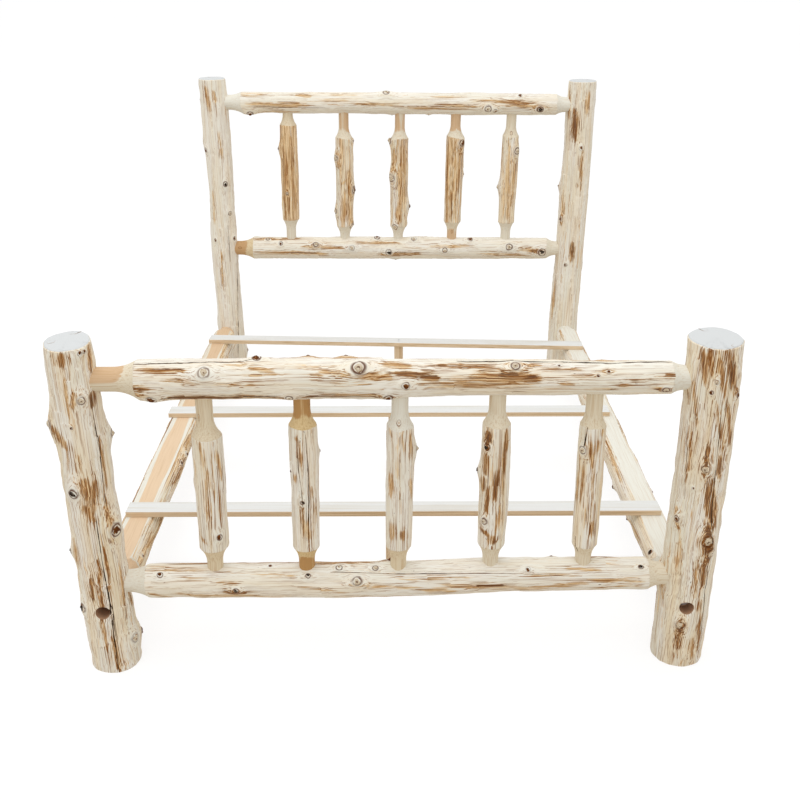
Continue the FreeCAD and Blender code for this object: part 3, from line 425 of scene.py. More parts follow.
            (204, 372, 233, 231, 8, 0.95), (506, 637, 126, 124, 6, 0.35),
            (989, 1165, 179, 188, 8, 0.65), (111, 221, 130, 129, 8, 0.35),
        ),
        "cracks": (
            (1.3, (154, 197), (506, 200)),
        ),
    },
    "headboard_bottom_rail": {
        "knots": (
            (421, 149, 24, 1), (588, 165, 24, 1), (705, 109, 24, 3), (761, 186, 28, 2),
            (878, 117, 24, 1), (1022, 175, 24, 1), (1140, 117, 24, 3), (1321, 159, 29, 1),
            (1476, 185, 33, 2), (257, 144, 19, 4), (196, 118, 19, 1), (64, 165, 17, 1),
        ),
        "bark": (
            (110, 344, 110, 110, 12, 0.95), (130, 485, 187, 199, 16, 0.75),
            (719, 906, 199, 198, 12, 1.05), (952, 1139, 154, 154, 12, 0.65),
            (1373, 1513, 175, 185, 20, 1.05), (346, 556, 160, 165, 12, 0.65),
            (1187, 1421, 198, 204, 12, 0.75), (602, 812, 138, 137, 8, 0.65),
        ),
        "cracks": (
            (1.3, (719, 186), (906, 192)),
        ),
    },
    "headboard_spindle_1": {
        "knots": (
            (443, 187, 23, 3), (250, 255, 12, 1),
        ),
        "bark": (
            (124, 532, 231, 248, 14, 0.8), (150, 532, 291, 288, 19, 0.8),
            (150, 400, 256, 262, 19, 0.8), (442, 508, 225, 220, 14, 0.6),
            (171, 354, 315, 316, 14, 0.8),
        ),
        "cracks": (),
    },
    "headboard_spindle_2": {
        "knots": (
            (490, 341, 22, 3), (406, 214, 28, 1), (262, 338, 28, 3), (165, 200, 26, 1),
            (95, 325, 24, 1),
        ),
        "bark": (
            (355, 443, 244, 230, 23, 0.55), (218, 356, 311, 298, 19, 0.55),
            (288, 311, 249, 284, 19, 0.55), (118, 266, 273, 269, 19, 0.55),
            (106, 195, 309, 311, 19, 0.45),
        ),
        "cracks": (),
    },
    "headboard_spindle_3": {
        "knots": (
            (481, 190, 30, 1), (319, 219, 34, 1), (185, 350, 30, 3), (92, 246, 24, 1),
        ),
        "bark": (
            (127, 490, 281, 279, 28, 0.55), (310, 444, 234, 231, 23, 0.4),
            (219, 444, 308, 309, 14, 0.45), (109, 197, 274, 266, 23, 0.55),
        ),
        "cracks": (),
    },
    "headboard_spindle_4": {
        "knots": (
            (476, 309, 28, 3), (68, 268, 15, 4),
        ),
        "bark": (
            (116, 487, 231, 214, 23, 0.75), (128, 490, 279, 266, 19, 0.75),
            (266, 445, 300, 303, 19, 0.55), (454, 488, 311, 318, 23, 0.95),
            (118, 311, 253, 249, 14, 0.75),
        ),
        "cracks": (
            (1.4, (118, 260), (490, 253)),
        ),
    },
    "headboard_spindle_5": {
        "knots": (
            (440, 311, 28, 1), (271, 174, 28, 1), (518, 268, 17, 1),
        ),
        "bark": (
            (326, 463, 174, 191, 23, 0.45), (128, 490, 270, 254, 19, 0.4),
            (220, 401, 300, 298, 19, 0.4), (441, 483, 196, 174, 19, 0.55),
        ),
        "cracks": (),
    },
    "side_rail_left": {
        "knots": (
            (817, 164, 19, 4), (734, 160, 18, 2), (155, 158, 13, 3),
        ),
        "bark": (
            # These patches darken the rail's inner side, which faces the middle of the bed, to a
            # grey-brown.
            (569, 807, 168, 171, 18, 1.2), (344, 466, 178, 173, 13, 1.2),
            (215, 313, 169, 184, 16, 1.1), (822, 989, 154, 156, 19, 1),
        ),
        "cracks": (
            (1.3, (203, 186), (466, 173)),
        ),
    },
    "side_rail_right": {
        "knots": (
            (633, 336, 21, 3), (139, 33, 19, 2), (423, 336, 17, 3),
        ),
        "bark": (
            # The faint patches at 37 to 42 and at 5 to -9 degrees, on the rail's inner side, are
            # painted shade on that side.
            (579, 873, 37, 42, 15, 0.5), (678, 905, 336, 345, 12, 0.5),
            (246, 455, 347, 337, 14, 0.4), (249, 388, 5, -9, 10, 0.4),
        ),
        "cracks": (),
    },
}

# Sides of a log that the photo doesn't show, in degrees from its sideways axis
# toward its upward axis, which get knots, bark and checks of their own.
UNSEEN_SIDES = {
    "post": (10, 170),
    "spindle": (12, 168),
    "cross": (-85, 75),
    "side_rail_left": (-155, 50),
    "side_rail_right": (125, 335),
}

# Drying checks in the sawn tops: both ends, as shares of the top's radius, and width.
TOP_CHECKS = {
    "foot_post_left": (((0.10, 0.55), (0.46, 0.97), 1.8), ((-0.75, -0.30), (-0.45, -0.12), 0.8)),
    "foot_post_right": (((-0.46, 0.86), (-0.24, 0.50), 1.8), ((0.30, -0.65), (0.45, -0.95), 0.8)),
    "head_post_left": (((-0.10, 0.20), (-0.50, 0.75), 1.0),),
    "head_post_right": (((0.15, 0.10), (0.60, 0.60), 1.0),),
}

# Counterbores in the posts: middle across and above the floor, which way they
# face along the bed, and how deep they go from the post's nominal face.
COUNTERBORES = {
    "foot_post_left": SIDE_LINES["left"] + (-1,),
    "foot_post_right": SIDE_LINES["right"] + (-1,),
    "head_post_left": SIDE_LINES["left"] + (1,),
    "head_post_right": SIDE_LINES["right"] + (1,),
}
COUNTERBORE_RADIUS = 20
COUNTERBORE_DEPTH = 45
# Rings of its wall and floor: share of the radius, and share of the depth.
COUNTERBORE_RINGS = ((1, 0), (1, 0.33), (1, 0.66), (1, 1), (0.5, 1), (0.05, 1))
# Faces are opened within this share of the counterbore, and the rows round it
# make room within this share.
OPENED_SHARE = 0.8
ROOM_SHARE = 1.7

# What every point of a log knows about its wood, in millimetres unless it is a share.
WOOD_FACTS = (
    "cut_depth", "heart", "stain", "stain_tone", "bark", "crack_side", "crack_half",
    "knot_gap", "sawn_end", "gold",
)
# How far off a cut, a patch or a crack may lie, and a knot's collar, before it is
# all the same; and the deepest cut that is told.
FAR = 15.0
KNOT_FAR = 4.0
DEEPEST_CUT = 40
# Bark patches: how far past its ends one may reach, the width at which its edge
# is feathered twice as much, where its middle stops counting as deeper, how wide
# its outline runs at least, how much a darker one grows, how blunt its ends are,
# how slowly it fades beyond them, and the tone of bare wood.
PATCH_REACH = 60
FEATHERED_WIDTH = 18
DEEPEST_PATCH = 6
PATCH_MARGIN = 2
PATCH_GROWTH = 3
PATCH_BLUNTNESS = 2.6
PATCH_FADE = 5
BARE_TONE = 0.6
# Cracks: how near another one may come, and how blunt their ends are.
CRACK_CLEARANCE = 7
CRACK_BLUNTNESS = 0.35
# Waves on a log's skin: how many, lengths, fewest and most lobes round it, and
# their share of the lump height. Lumps and strokes are stated for a usual log.
SURFACE_WAVES = ((14, (90, 480), (0, 5), 1.0), (12, (22, 75), (3, 13), 0.33))
LUMP_SHARES = (0.2, 0.6)
USUAL_RADIUS = 60
# Knife strokes: skin for each, as length times radius in mm2, half their length
# in mm, their depth as a share, and half the turn in radians that one can reach.
STROKE_AREA = 1500
STROKE_HALF_LENGTHS = (40, 190)
STROKE_DEPTHS = (0.3, 1.0)
STROKE_TURN = 0.7
# Collars of the knots: reach, length, width and roundness in knot sizes, and how
# drawn out the fibres part round a knot.
COLLAR_REACH = 5
COLLAR_LENGTH = 1.3
COLLAR_WIDTH = 0.95
COLLAR_ROUNDNESS = 1.4
RING_REACH = 4
FIBRE_PARTING = 1.9
# The unseen side: room left at the joints, steps between knots, patches and
# cracks, how far a knot strays, and ranges of their sizes, all in mm, degrees,
# or shares of the diameter.
UNSEEN_ROOM = 60
UNSEEN_STEPS = {"knots": 190, "patches": 26, "cracks": 420}
UNSEEN_STRAY = 60
UNSEEN_KNOT_SHARES = (0.10, 0.21)
UNSEEN_PATCH = {"length": (60, 230), "lean": (-7, 7), "width": (6, 20), "tone": (0.7, 1.4)}
UNSEEN_CRACK = {"width": (0.8, 1.8), "knee": 110, "length": (200, 380), "room": 400}
UNSEEN_CRACK_LEANS = ((-4, 4), (-6, 6))
# What a counterbore's wall knows of its wood, where it isn't nothing.
BORED_WOOD = {
    "cut_depth": 20.0, "stain": -FAR, "crack_side": FAR, "knot_gap": KNOT_FAR, "sawn_end": 2.0}
# Outline of the heartwood: the depth in mm of its waves, how many lobes go round
# it, and the mm along the log in which a wave moves on by a radian.
HEART_WAVE = (1.6, 93)
HEART_LOBES = (1.2, 3, 210)
# Edges sharper than this many degrees are drawn sharp.
SHARP_ANGLE = 38
# How much bare wood mirrors; and the floor where the camera sees it, as a grey that
# takes the shadow and the light that it gives off.
WOOD_SHEEN = 0.08
SEEN_FLOOR_GREY = 0.3
SEEN_FLOOR_GLOW = 0.74
TINY = 1e-6


def hex_colour(code):
    """An sRGB hex value as a linear colour."""
    def linear(channel):
        share = channel / 255
        if share <= 0.04045:
            return share / 12.92
        return ((share + 0.055) / 1.055) ** 2.4
    return tuple(linear(int(code[at:at + 2], 16)) for at in (1, 3, 5)) + (1.0,)


def colour_input(name, code, description):
    """A colour that a user may change."""
    return bpy.props.FloatVectorProperty(
        name=name, description=description, subtype="COLOR", size=4, min=0, max=1,
        default=hex_colour(code))


def add_node(tree, kind, settings=None, links=None):
    """Add a node with its settings, and link or fill its inputs."""
    node = tree.nodes.new(kind)
    for name, value in (settings or {}).items():
        setattr(node, name, value)
    for name, value in (links or {}).items():
        if isinstance(value, bpy.types.Node):
            value = next(socket for socket in value.outputs if socket.enabled)
        if isinstance(value, bpy.types.NodeSocket):
            tree.links.new(value, node.inputs[name])
        else:
            node.inputs[name].default_value = value
    return node


def new_finish(name):
    """An empty node material, and its node tree."""
    finish = bpy.data.materials.new(name)
    finish.use_nodes = True
    finish.node_tree.nodes.clear()
    return finish, finish.node_tree


def angle_between(angle, other):
    """Signed difference of two angles in radians, the short way round."""
    return (angle - other + math.pi) % (2 * math.pi) - math.pi


def through_rings(rings, places):
    """Smooth curves through a log's rings: drift sideways, drift upward, girth."""
    at = rings[:, 0]
    slopes = np.gradient(rings[:, 1:], at, axis=0)
    span = np.clip(np.searchsorted(at, places, side="right") - 1, 0, len(at) - 2)
    width = (at[span + 1] - at[span])[..., None]
    t = (places[..., None] - at[span][..., None]) / width
    low, high = rings[span, 1:], rings[span + 1, 1:]
    low_slope, high_slope = slopes[span] * width, slopes[span + 1] * width
    return (
        low * (1 + t * t * (2 * t - 3)) + high * t * t * (3 - 2 * t)
        + low_slope * t * (1 - t) ** 2 + high_slope * t * t * (t - 1))


class PeeledLog:
    """A peeled log as rows of points, each at a place along it and an angle round it."""

    def __init__(self, name, sizes):
        (self.kind, start, end, self.diameter, rings, self.necks, self.bark,
         self.heart) = LOGS[name]
        sideways, self.tenon, self.depth, self.curves, self.sides = KINDS[self.kind]
        self.name = name
        self.sizes = sizes
        self.start = np.array(start, float)
        way = np.array(end, float) - self.start
        self.length = float(np.linalg.norm(way))
        self.way = way / self.length
        across = np.array(sideways, float)
        across -= self.way * across.dot(self.way)
        self.across = across / np.linalg.norm(across)
        self.upward = np.cross(self.way, self.across)
        self.rings = np.array(rings)
        self.chance = np.random.default_rng(sizes.seed + list(LOGS).index(name))
        self.offset = self.chance.uniform(-4, 4, 3)
        shown = FEATURES[name]
        self.knots = [
            (place, turn, size * sizes.knot_size_share, kind)
            for place, turn, size, kind in shown["knots"]]
        self.patches = list(shown["bark"])
        self.cracks = list(shown["cracks"])
        self.weather_the_unseen_side()
        self.lay_rows()
        self.shape()
        self.learn_the_wood()

    def weather_the_unseen_side(self):
        """Knots, bark and checks on the side that the photo doesn't show."""
        low, high = UNSEEN_SIDES.get(self.name) or UNSEEN_SIDES[self.kind]
        chance, room, steps = self.chance, self.depth + UNSEEN_ROOM, UNSEEN_STEPS
        for place in np.arange(room + UNSEEN_ROOM, self.length - room, steps["knots"]):
            self.knots.append((
                place + chance.uniform(-UNSEEN_STRAY, UNSEEN_STRAY), chance.uniform(low, high),
                self.diameter * chance.uniform(*UNSEEN_KNOT_SHARES), chance.integers(1, 5)))
        patch = UNSEEN_PATCH
        for place in np.arange(room, self.length - room - UNSEEN_ROOM, steps["patches"]):
            angle = chance.uniform(low, high)
            self.patches.append((
                place, min(place + chance.uniform(*patch["length"]), self.length - room),
                angle, angle + chance.uniform(*patch["lean"]), chance.uniform(*patch["width"]),
                chance.uniform(*patch["tone"])))
        crack = UNSEEN_CRACK
        for place in np.arange(room, self.length - crack["room"], steps["cracks"]):
            angle = chance.uniform(low, high)
            first_lean, last_lean = UNSEEN_CRACK_LEANS
            self.cracks.append((
                chance.uniform(*crack["width"]), (place, angle),
                (place + crack["knee"], angle + chance.uniform(*first_lean)),
                (place + chance.uniform(*crack["length"]), angle + chance.uniform(*last_lean))))

    def lay_rows(self):
        """Places along the log, the share of the radius that each row keeps, and angles."""
        count = int(self.length / (self.sizes.row_spacing / MM)) + 1
        ease, first_row, bottom_inset = END_EASE, END_EASE, END_EASE
        if self.kind == "post":
            ease, first_row, bottom_inset = POST_CHAMFER, POST_FIRST_ROW, 0
        skin = np.linspace(first_row, self.length - ease, count)
        caps = np.array(CAP_SHARES)
        self.row_places = np.concatenate((
            np.zeros(len(caps) + 1), skin, np.full(len(caps) + 1, self.length)))
        self.row_shares = np.concatenate((caps[::-1], np.ones(count + 2), caps))
        self.row_insets = np.concatenate((
            np.full(len(caps) + 1, bottom_inset), np.zeros(count), np.full(len(caps) + 1, ease)))
        self.first_skin, self.last_skin = len(caps) + 1, len(caps) + count
        turn = np.arange(self.sides) * 2 * math.pi / self.sides
        self.places = np.repeat(self.row_places[:, None], self.sides, 1)
        self.angles = np.repeat(turn[None, :], len(self.row_places), 0)
        if self.kind == "side":
            self.keep_columns_on_the_saw_line()

    def keep_columns_on_the_saw_line(self):
        """Turn the columns so that two of them follow the edges of the sawn flat."""
        curve = through_rings(self.rings, self.places[:, 0] / self.length)
        radius = curve[:, 2] * self.diameter / 2
        height = SLAT_SEAT - self.start[2] - curve[:, 1] * self.diameter
        edge = np.arcsin(np.clip(height / radius, -0.99, 0.99))
        flat = self.sides // FLAT_COLUMNS
        share = np.linspace(0, 1, flat + 1)[None, :]
        over = edge[:, None] + share * (math.pi - 2 * edge[:, None])
        share = np.linspace(0, 1, self.sides - flat + 1)[None, 1:-1]
        under = math.pi - edge[:, None] + share * (math.pi + 2 * edge[:, None])
        self.angles = np.concatenate((over, under), 1)
        self.flat_columns = flat + 1

    def rows_between(self, low, high):
        """The rows whose places lie between two, as a slice."""
        return slice(
            int(np.searchsorted(self.row_places, low)),
            int(np.searchsorted(self.row_places, high, side="right")))

    def skin_radius(self):
        """Radius of the peeled skin: rings, slow lumps, drawknife strokes, knot collars."""
        girth = self.diameter / 2
        curve = through_rings(self.rings, self.places / self.length)
        self.drift = curve[..., :2] * self.diameter
        radius = curve[..., 2] * girth
        chance, sizes, big = self.chance, self.sizes, girth / USUAL_RADIUS
        for count, waves, lobes, share in SURFACE_WAVES:
            for _ in range(count):
                height = sizes.lump_height / MM * chance.uniform(*LUMP_SHARES) * share * big
                phase = self.places * 2 * math.pi / chance.uniform(*waves)
                turn = chance.integers(*lobes) * (self.angles - chance.uniform(0, 2 * math.pi))
                radius = radius + height * np.sin(
                    phase + chance.uniform(0, 2 * math.pi)) * np.cos(turn)
        reach = STROKE_TURN
        for _ in range(int(self.length * girth / STROKE_AREA)):
            middle, half = chance.uniform(0, self.length), chance.uniform(*STROKE_HALF_LENGTHS)
            depth = sizes.stroke_depth / MM * chance.uniform(*STROKE_DEPTHS) * big
            turn = chance.uniform(0, 2 * math.pi)
            rows = self.rows_between(middle - half, middle + half)
            away = angle_between(self.angles[rows], turn)
            fade = 1 - ((self.places[rows] - middle) / half) ** 2
            plane = (radius[rows].mean() - depth * fade) / np.cos(np.clip(away, -reach, reach))
            near = (np.abs(away) < reach) & (fade > 0)
            radius[rows] = np.where(near, np.minimum(radius[rows], plane), radius[rows])
        for place, angle, size, _ in self.knots:
            rows = self.rows_between(place - COLLAR_REACH * size, place + COLLAR_REACH * size)
            along = (self.places[rows] - place) / (COLLAR_LENGTH * size)
            away = girth * angle_between(self.angles[rows], math.radians(angle))
            off = along ** 2 + (away / (COLLAR_WIDTH * size)) ** 2
            swell = sizes.knot_swelling * size * np.exp(-off / COLLAR_ROUNDNESS)
            radius[rows] = radius[rows] + swell
        return radius

    def make_room_for_the_counterbore(self):
        """Part the rows round a counterbore, and mark the points that it takes away."""
        self.bored = None
        if self.name not in COUNTERBORES:
            return
        x_middle, z_middle, facing = COUNTERBORES[self.name]
        side_turn = math.pi / 2 * facing
        radius, drift = self.radius, self.drift
        across = self.start[0] + drift[..., 0] + radius * np.cos(self.angles) - x_middle
        along = self.places - z_middle
        distance = np.hypot(across, along)
        facing_it = np.abs(angle_between(self.angles, side_turn)) < math.pi / 2
        facing_it &= (self.row_shares == 1)[:, None]
        bore, opened = COUNTERBORE_RADIUS, OPENED_SHARE * COUNTERBORE_RADIUS
        room = ROOM_SHARE * bore
        moved = bore + (np.maximum(distance, opened) - opened) * (room - bore) / (room - opened)
        scale = np.where(distance < room, moved / np.maximum(distance, TINY), 1)
        near = facing_it & (distance < room)
        wanted = np.clip(
            (across * scale + x_middle - self.start[0] - drift[..., 0]) / radius, -1, 1)
        turned = facing * np.arccos(wanted)
        self.angles = np.where(near, turned, self.angles)
        self.places = np.where(near, z_middle + along * scale, self.places)
        self.bored = facing_it & (distance < opened)

    def shape(self):
        """Place every point of the log, in its own axes."""
        self.radius = self.skin_radius()
        self.make_room_for_the_counterbore()
        kept = self.row_shares[:, None] * (self.radius - self.row_insets[:, None])
        x = self.drift[..., 0] + kept * np.cos(self.angles)
        y = self.drift[..., 1] + kept * np.sin(self.angles)
        cut = np.full(x.shape, -FAR)
        if self.tenon:
            limit = np.minimum(self.turned_radius(False), self.turned_radius(True))
            limit = limit - self.row_insets[:, None]
            reach = np.hypot(x, y)
            edge = np.hypot(
                self.drift[..., 0] + self.radius * np.cos(self.angles),
                self.drift[..., 1] + self.radius * np.sin(self.angles))
            cut = edge - limit
            limit = limit * self.row_shares[:, None]
            scale = np.where(cut > 0, limit / np.maximum(reach, TINY), 1)
            x, y = x * scale, y * scale
        if self.kind == "side":
            height = SLAT_SEAT - self.start[2]
            cut = np.maximum(cut, y - height)
            y = np.minimum(y, height)
            over = y[:, :self.flat_columns]
            on_flat = cut[:, :self.flat_columns] > -FLAT_SNAP
            on_flat &= (self.row_shares == 1)[:, None] & (over > height - FLAT_SNAP)
            y[:, :self.flat_columns] = np.where(on_flat, height, over)
        self.x, self.y, self.cut = x, y, np.clip(cut, -FAR, DEEPEST_CUT)

    def turned_radius(self, far_end):
        """Radius that the tenon cutter leaves: bare tenon, then a hollow curve outward."""
        curve = self.curves[1 if far_end else 0]
        distance = self.length - self.places if far_end else self.places
        past = distance - self.depth - self.necks[1 if far_end else 0]
        arc = curve - np.sqrt(np.maximum(curve ** 2 - np.clip(past, 0, curve) ** 2, 0))
        return np.where(past >= curve, self.diameter, self.tenon + arc)

    def learn_the_wood(self):
        """Work out what the finish needs to know at every point."""
        shape = self.places.shape
        facts = {name: np.zeros(shape) for name in WOOD_FACTS}
        facts["cut_depth"] = self.cut
        facts["bark"] += self.bark
        girth = self.diameter / 2
        slide = np.zeros(shape)
        gap = np.full(shape, KNOT_FAR)
        for place, angle, size, _ in self.knots:
            rows = self.rows_between(place - RING_REACH * size, place + RING_REACH * size)
            half = size / 2
            around = girth * angle_between(self.angles[rows], math.radians(angle))
            along = self.places[rows] - place
            off = np.hypot(along / (self.sizes.knot_length_share * half), around / half)
            gap[rows] = np.minimum(gap[rows], off)
            off = np.maximum(around ** 2 + (along / FIBRE_PARTING) ** 2, half ** 2)
            parted = half ** 2 / off
            slide[rows] -= around * parted / girth
        facts["knot_gap"] = np.minimum(gap, KNOT_FAR)
        stain, tone = np.full(shape, -FAR), np.full(shape, BARE_TONE)
        for low, high, from_angle, to_angle, width, strength in self.patches:
            rows = self.rows_between(low - PATCH_REACH, high + PATCH_REACH)
            share = (self.places[rows] - low) / max(high - low, 1)
            middle = from_angle + np.clip(share, 0, 1) * (to_angle - from_angle)
            around = girth * np.abs(angle_between(self.angles[rows], np.radians(middle)))
            taper = np.sqrt(np.clip(1 - np.abs(2 * share - 1) ** PATCH_BLUNTNESS, 0, 1))
            beyond = np.maximum(np.abs(share - 0.5) - 0.5, 0) * (high - low) / PATCH_FADE
            inside = (0.5 * width + PATCH_MARGIN) * taper - around - beyond
            inside = inside + PATCH_GROWTH * (strength - 1)
            inside = np.minimum(inside / (1 + width / FEATHERED_WIDTH), DEEPEST_PATCH)
            tone[rows] = np.where(inside > stain[rows], strength, tone[rows])
            stain[rows] = np.maximum(stain[rows], inside)
        facts["stain"], facts["stain_tone"] = stain, tone
        side, half_width = np.full(shape, FAR), np.zeros(shape)
        for width, *line in self.cracks:
            self.open_crack(width, line, girth, side, half_width)
        self.open_top_checks(side, half_width)
        facts["crack_side"], facts["crack_half"] = side, half_width
        near_radius, far_radius, x_pith, y_pith, near_gold, far_gold = self.heart
        near_half = self.places < self.length / 2
        facts["gold"] = np.where(near_half, near_gold, far_gold)
        heart_radius = np.where(near_half, near_radius, far_radius)
        deep, step = HEART_WAVE
        sway = deep * np.sin(self.places / step + self.offset[0])
        deep, lobes, step = HEART_LOBES
        sway = sway + deep * np.sin(lobes * self.angles + self.places / step)
        facts["heart"] = heart_radius + sway - np.hypot(self.x - x_pith, self.y - y_pith)
        ends = (self.row_shares < 1) | (np.abs(self.row_insets) > 0)
        ends &= self.row_places > self.length / 2 if self.kind == "post" else ends
        facts["sawn_end"] += ends[:, None]
        self.facts = facts
        reach, turn = np.hypot(self.x, self.y), np.arctan2(self.y, self.x) + slide
        self.grain = np.stack((
            reach * np.cos(turn) * MM + self.offset[0], reach * np.sin(turn) * MM + self.offset[1],
            self.places * MM + self.offset[2]), -1)

    def open_crack(self, width, line, girth, side, half_width):
        """A crack along a line of places and angles, tapered to both ends."""
        points = np.array(line, float)
        first, last = points[0, 0], points[-1, 0]
        rows = self.rows_between(first, last)
        places = self.places[rows]
        middle = np.interp(places, points[:, 0], points[:, 1])
        away = girth * angle_between(self.angles[rows], np.radians(middle))
        share = np.clip((places - first) / max(last - first, 1), 0, 1)
        half = 0.5 * width * (4 * share * (1 - share)) ** CRACK_BLUNTNESS
        near = np.abs(away) < np.minimum(np.abs(side[rows]), CRACK_CLEARANCE)
        side[rows] = np.where(near, away, side[rows])
        half_width[rows] = np.where(near & (share > 0) & (share < 1), half, half_width[rows])

    def open_top_checks(self, side, half_width):
        """Drying checks across the sawn top of a post."""
        rows = slice(self.last_skin + 1, None)
        radius = self.radius[rows]
        x = (self.x[rows] - self.drift[rows][..., 0]) / radius
        y = (self.y[rows] - self.drift[rows][..., 1]) / radius
        for start, end, width in TOP_CHECKS.get(self.name, ()):
            start, end = np.array(start), np.array(end)
            way = (end - start) / np.linalg.norm(end - start)
            along = (x - start[0]) * way[0] + (y - start[1]) * way[1]
            away = ((x - start[0]) * way[1] - (y - start[1]) * way[0]) * radius
            share = along / np.linalg.norm(end - start)
            near = (share > 0) & (share < 1) & (np.abs(away) < np.abs(side[rows]))
            side[rows] = np.where(near, away, side[rows])
            half_width[rows] = np.where(near, 0.5 * width, half_width[rows])

    def in_the_bed(self, x, y, z):
        """Points from the log's own axes, in metres in the shared frame."""
        place = (
            self.start + x[..., None] * self.across + y[..., None] * self.upward
            + z[..., None] * self.way)
        return place * MM

    def counterbore(self, corners, opened, points):
        """Snap the opening's rim to a circle, and return the rings of a wall and floor."""
        x_middle, z_middle, facing = COUNTERBORES[self.name]
        rim = np.unique(corners[opened].ravel())
        rim = np.intersect1d(rim, np.unique(corners[~opened].ravel()))
        turn = np.arctan2(points[rim, 2] / MM - z_middle, points[rim, 0] / MM - x_middle)
        order = np.argsort(turn)
        rim, turn = rim[order], turn[order]
        points[rim, 0] = (x_middle + COUNTERBORE_RADIUS * np.cos(turn)) * MM
        points[rim, 2] = (z_middle + COUNTERBORE_RADIUS * np.sin(turn)) * MM
        floor = self.start[1] + facing * (self.diameter / 2 - COUNTERBORE_DEPTH)
        rings = []
        for share, depth in COUNTERBORE_RINGS:
            ring = points[rim].copy()
            ring[:, 1] += (floor * MM - ring[:, 1]) * depth
            ring[:, 0] = x_middle * MM + (ring[:, 0] - x_middle * MM) * share
            ring[:, 2] = z_middle * MM + (ring[:, 2] - z_middle * MM) * share
            rings.append(ring)
        return rings

    def build(self):
        """Make the mesh with its wood facts, and return its object."""
        raised, tilt = POST_TOPS.get(self.name, (0, 0))
        near_top = np.clip((self.places - self.length) / TOP_REACH + 1, 0, 1) ** 2
        lift = near_top * (raised + tilt * self.y * 2 / self.diameter)
        points = self.in_the_bed(self.x, self.y, self.places + lift).reshape(-1, 3)
        rows, sides = self.places.shape
        index = np.arange(rows * sides).reshape(rows, sides)
        beside = np.roll(index, -1, 1)
        corners = np.stack((index[:-1], beside[:-1], beside[1:], index[1:]), -1).reshape(-1, 4)
        values = {name: fact.ravel() for name, fact in self.facts.items()}
        grain = self.grain.reshape(-1, 3)
        if self.bored is not None:
            opened = self.bored.ravel()[corners].any(1)
            rings = self.counterbore(corners, opened, points)
            corners = corners[~opened]
            first, count = len(points), len(rings[0])
            wall = np.concatenate(rings)
            points = np.concatenate((points, wall))
            steps = np.arange(len(rings) * count).reshape(len(rings), count) + first
            onward = np.roll(steps, -1, 1)
            quads = np.stack((steps[:-1], onward[:-1], onward[1:], steps[1:]), -1).reshape(-1, 4)
            if self.start[1] > 0:
                quads = quads[:, ::-1]
            corners = np.concatenate((corners, quads))
            bottom = steps[-1] if self.start[1] < 0 else steps[-1][::-1]
            for name in values:
                filling = np.full(len(wall), BORED_WOOD.get(name, 0.0))
                values[name] = np.concatenate((values[name], filling))
            grain = np.concatenate((grain, wall + self.offset))
        ends = [index[0][::-1], index[-1]] + ([bottom] if self.bored is not None else [])
        return mesh_object(self.name + "_wood", points, corners, ends, values, grain)

    def knot_points(self):
        """Where this log's knots sit: place, outward way, way along, radius and kind."""
        found = []
        for place, angle, size, kind in self.knots:
            turn = math.radians(angle)
            row = int(np.abs(self.places[:, 0] - place).argmin())
            row = min(max(row, self.first_skin), self.last_skin)
            column = int(np.abs(angle_between(self.angles[row], turn)).argmin())
            if self.cut[row, column] > 0 or (self.bored is not None and self.bored[row, column]):
                continue
            x, y = self.x[row, column], self.y[row, column]
            outward = math.cos(turn) * self.across + math.sin(turn) * self.upward
            spot = self.in_the_bed(np.array(x), np.array(y), np.array(float(place)))
            found.append((spot, outward, self.way, size / 2 * MM, float(kind)))
        return found


def mesh_object(name, points, corners, ends, values, grain):
    """A closed, smooth-shaded mesh of four-sided faces and two end faces."""
    mesh = bpy.data.meshes.new(name)
    loops = np.concatenate([corners.ravel()] + ends).astype(np.int32)
    totals = [4] * len(corners) + [len(end) for end in ends]
    starts = np.concatenate(((0,), np.cumsum(totals)[:-1])).astype(np.int32)
    mesh.vertices.add(len(points))
    mesh.vertices.foreach_set("co", points.astype(np.float32).ravel())
    mesh.loops.add(len(loops))
    mesh.loops.foreach_set("vertex_index", loops)
    mesh.polygons.add(len(totals))
    mesh.polygons.foreach_set("loop_start", starts)
    mesh.update(calc_edges=True)
    mesh.validate()
    mesh.shade_smooth()
    mesh.set_sharp_from_angle(angle=math.radians(SHARP_ANGLE))
    for fact, numbers in values.items():
        layer = mesh.attributes.new(fact, "FLOAT", "POINT")
        layer.data.foreach_set("value", numbers.astype(np.float32))
    layer = mesh.attributes.new("grain_place", "FLOAT_VECTOR", "POINT")
    layer.data.foreach_set("vector", grain.astype(np.float32).ravel())
    piece = bpy.data.objects.new(name, mesh)
    bpy.context.scene.collection.objects.link(piece)
    return piece


# Length of one dent in a knot's outline, in mm.
KNOT_WAVE = 9


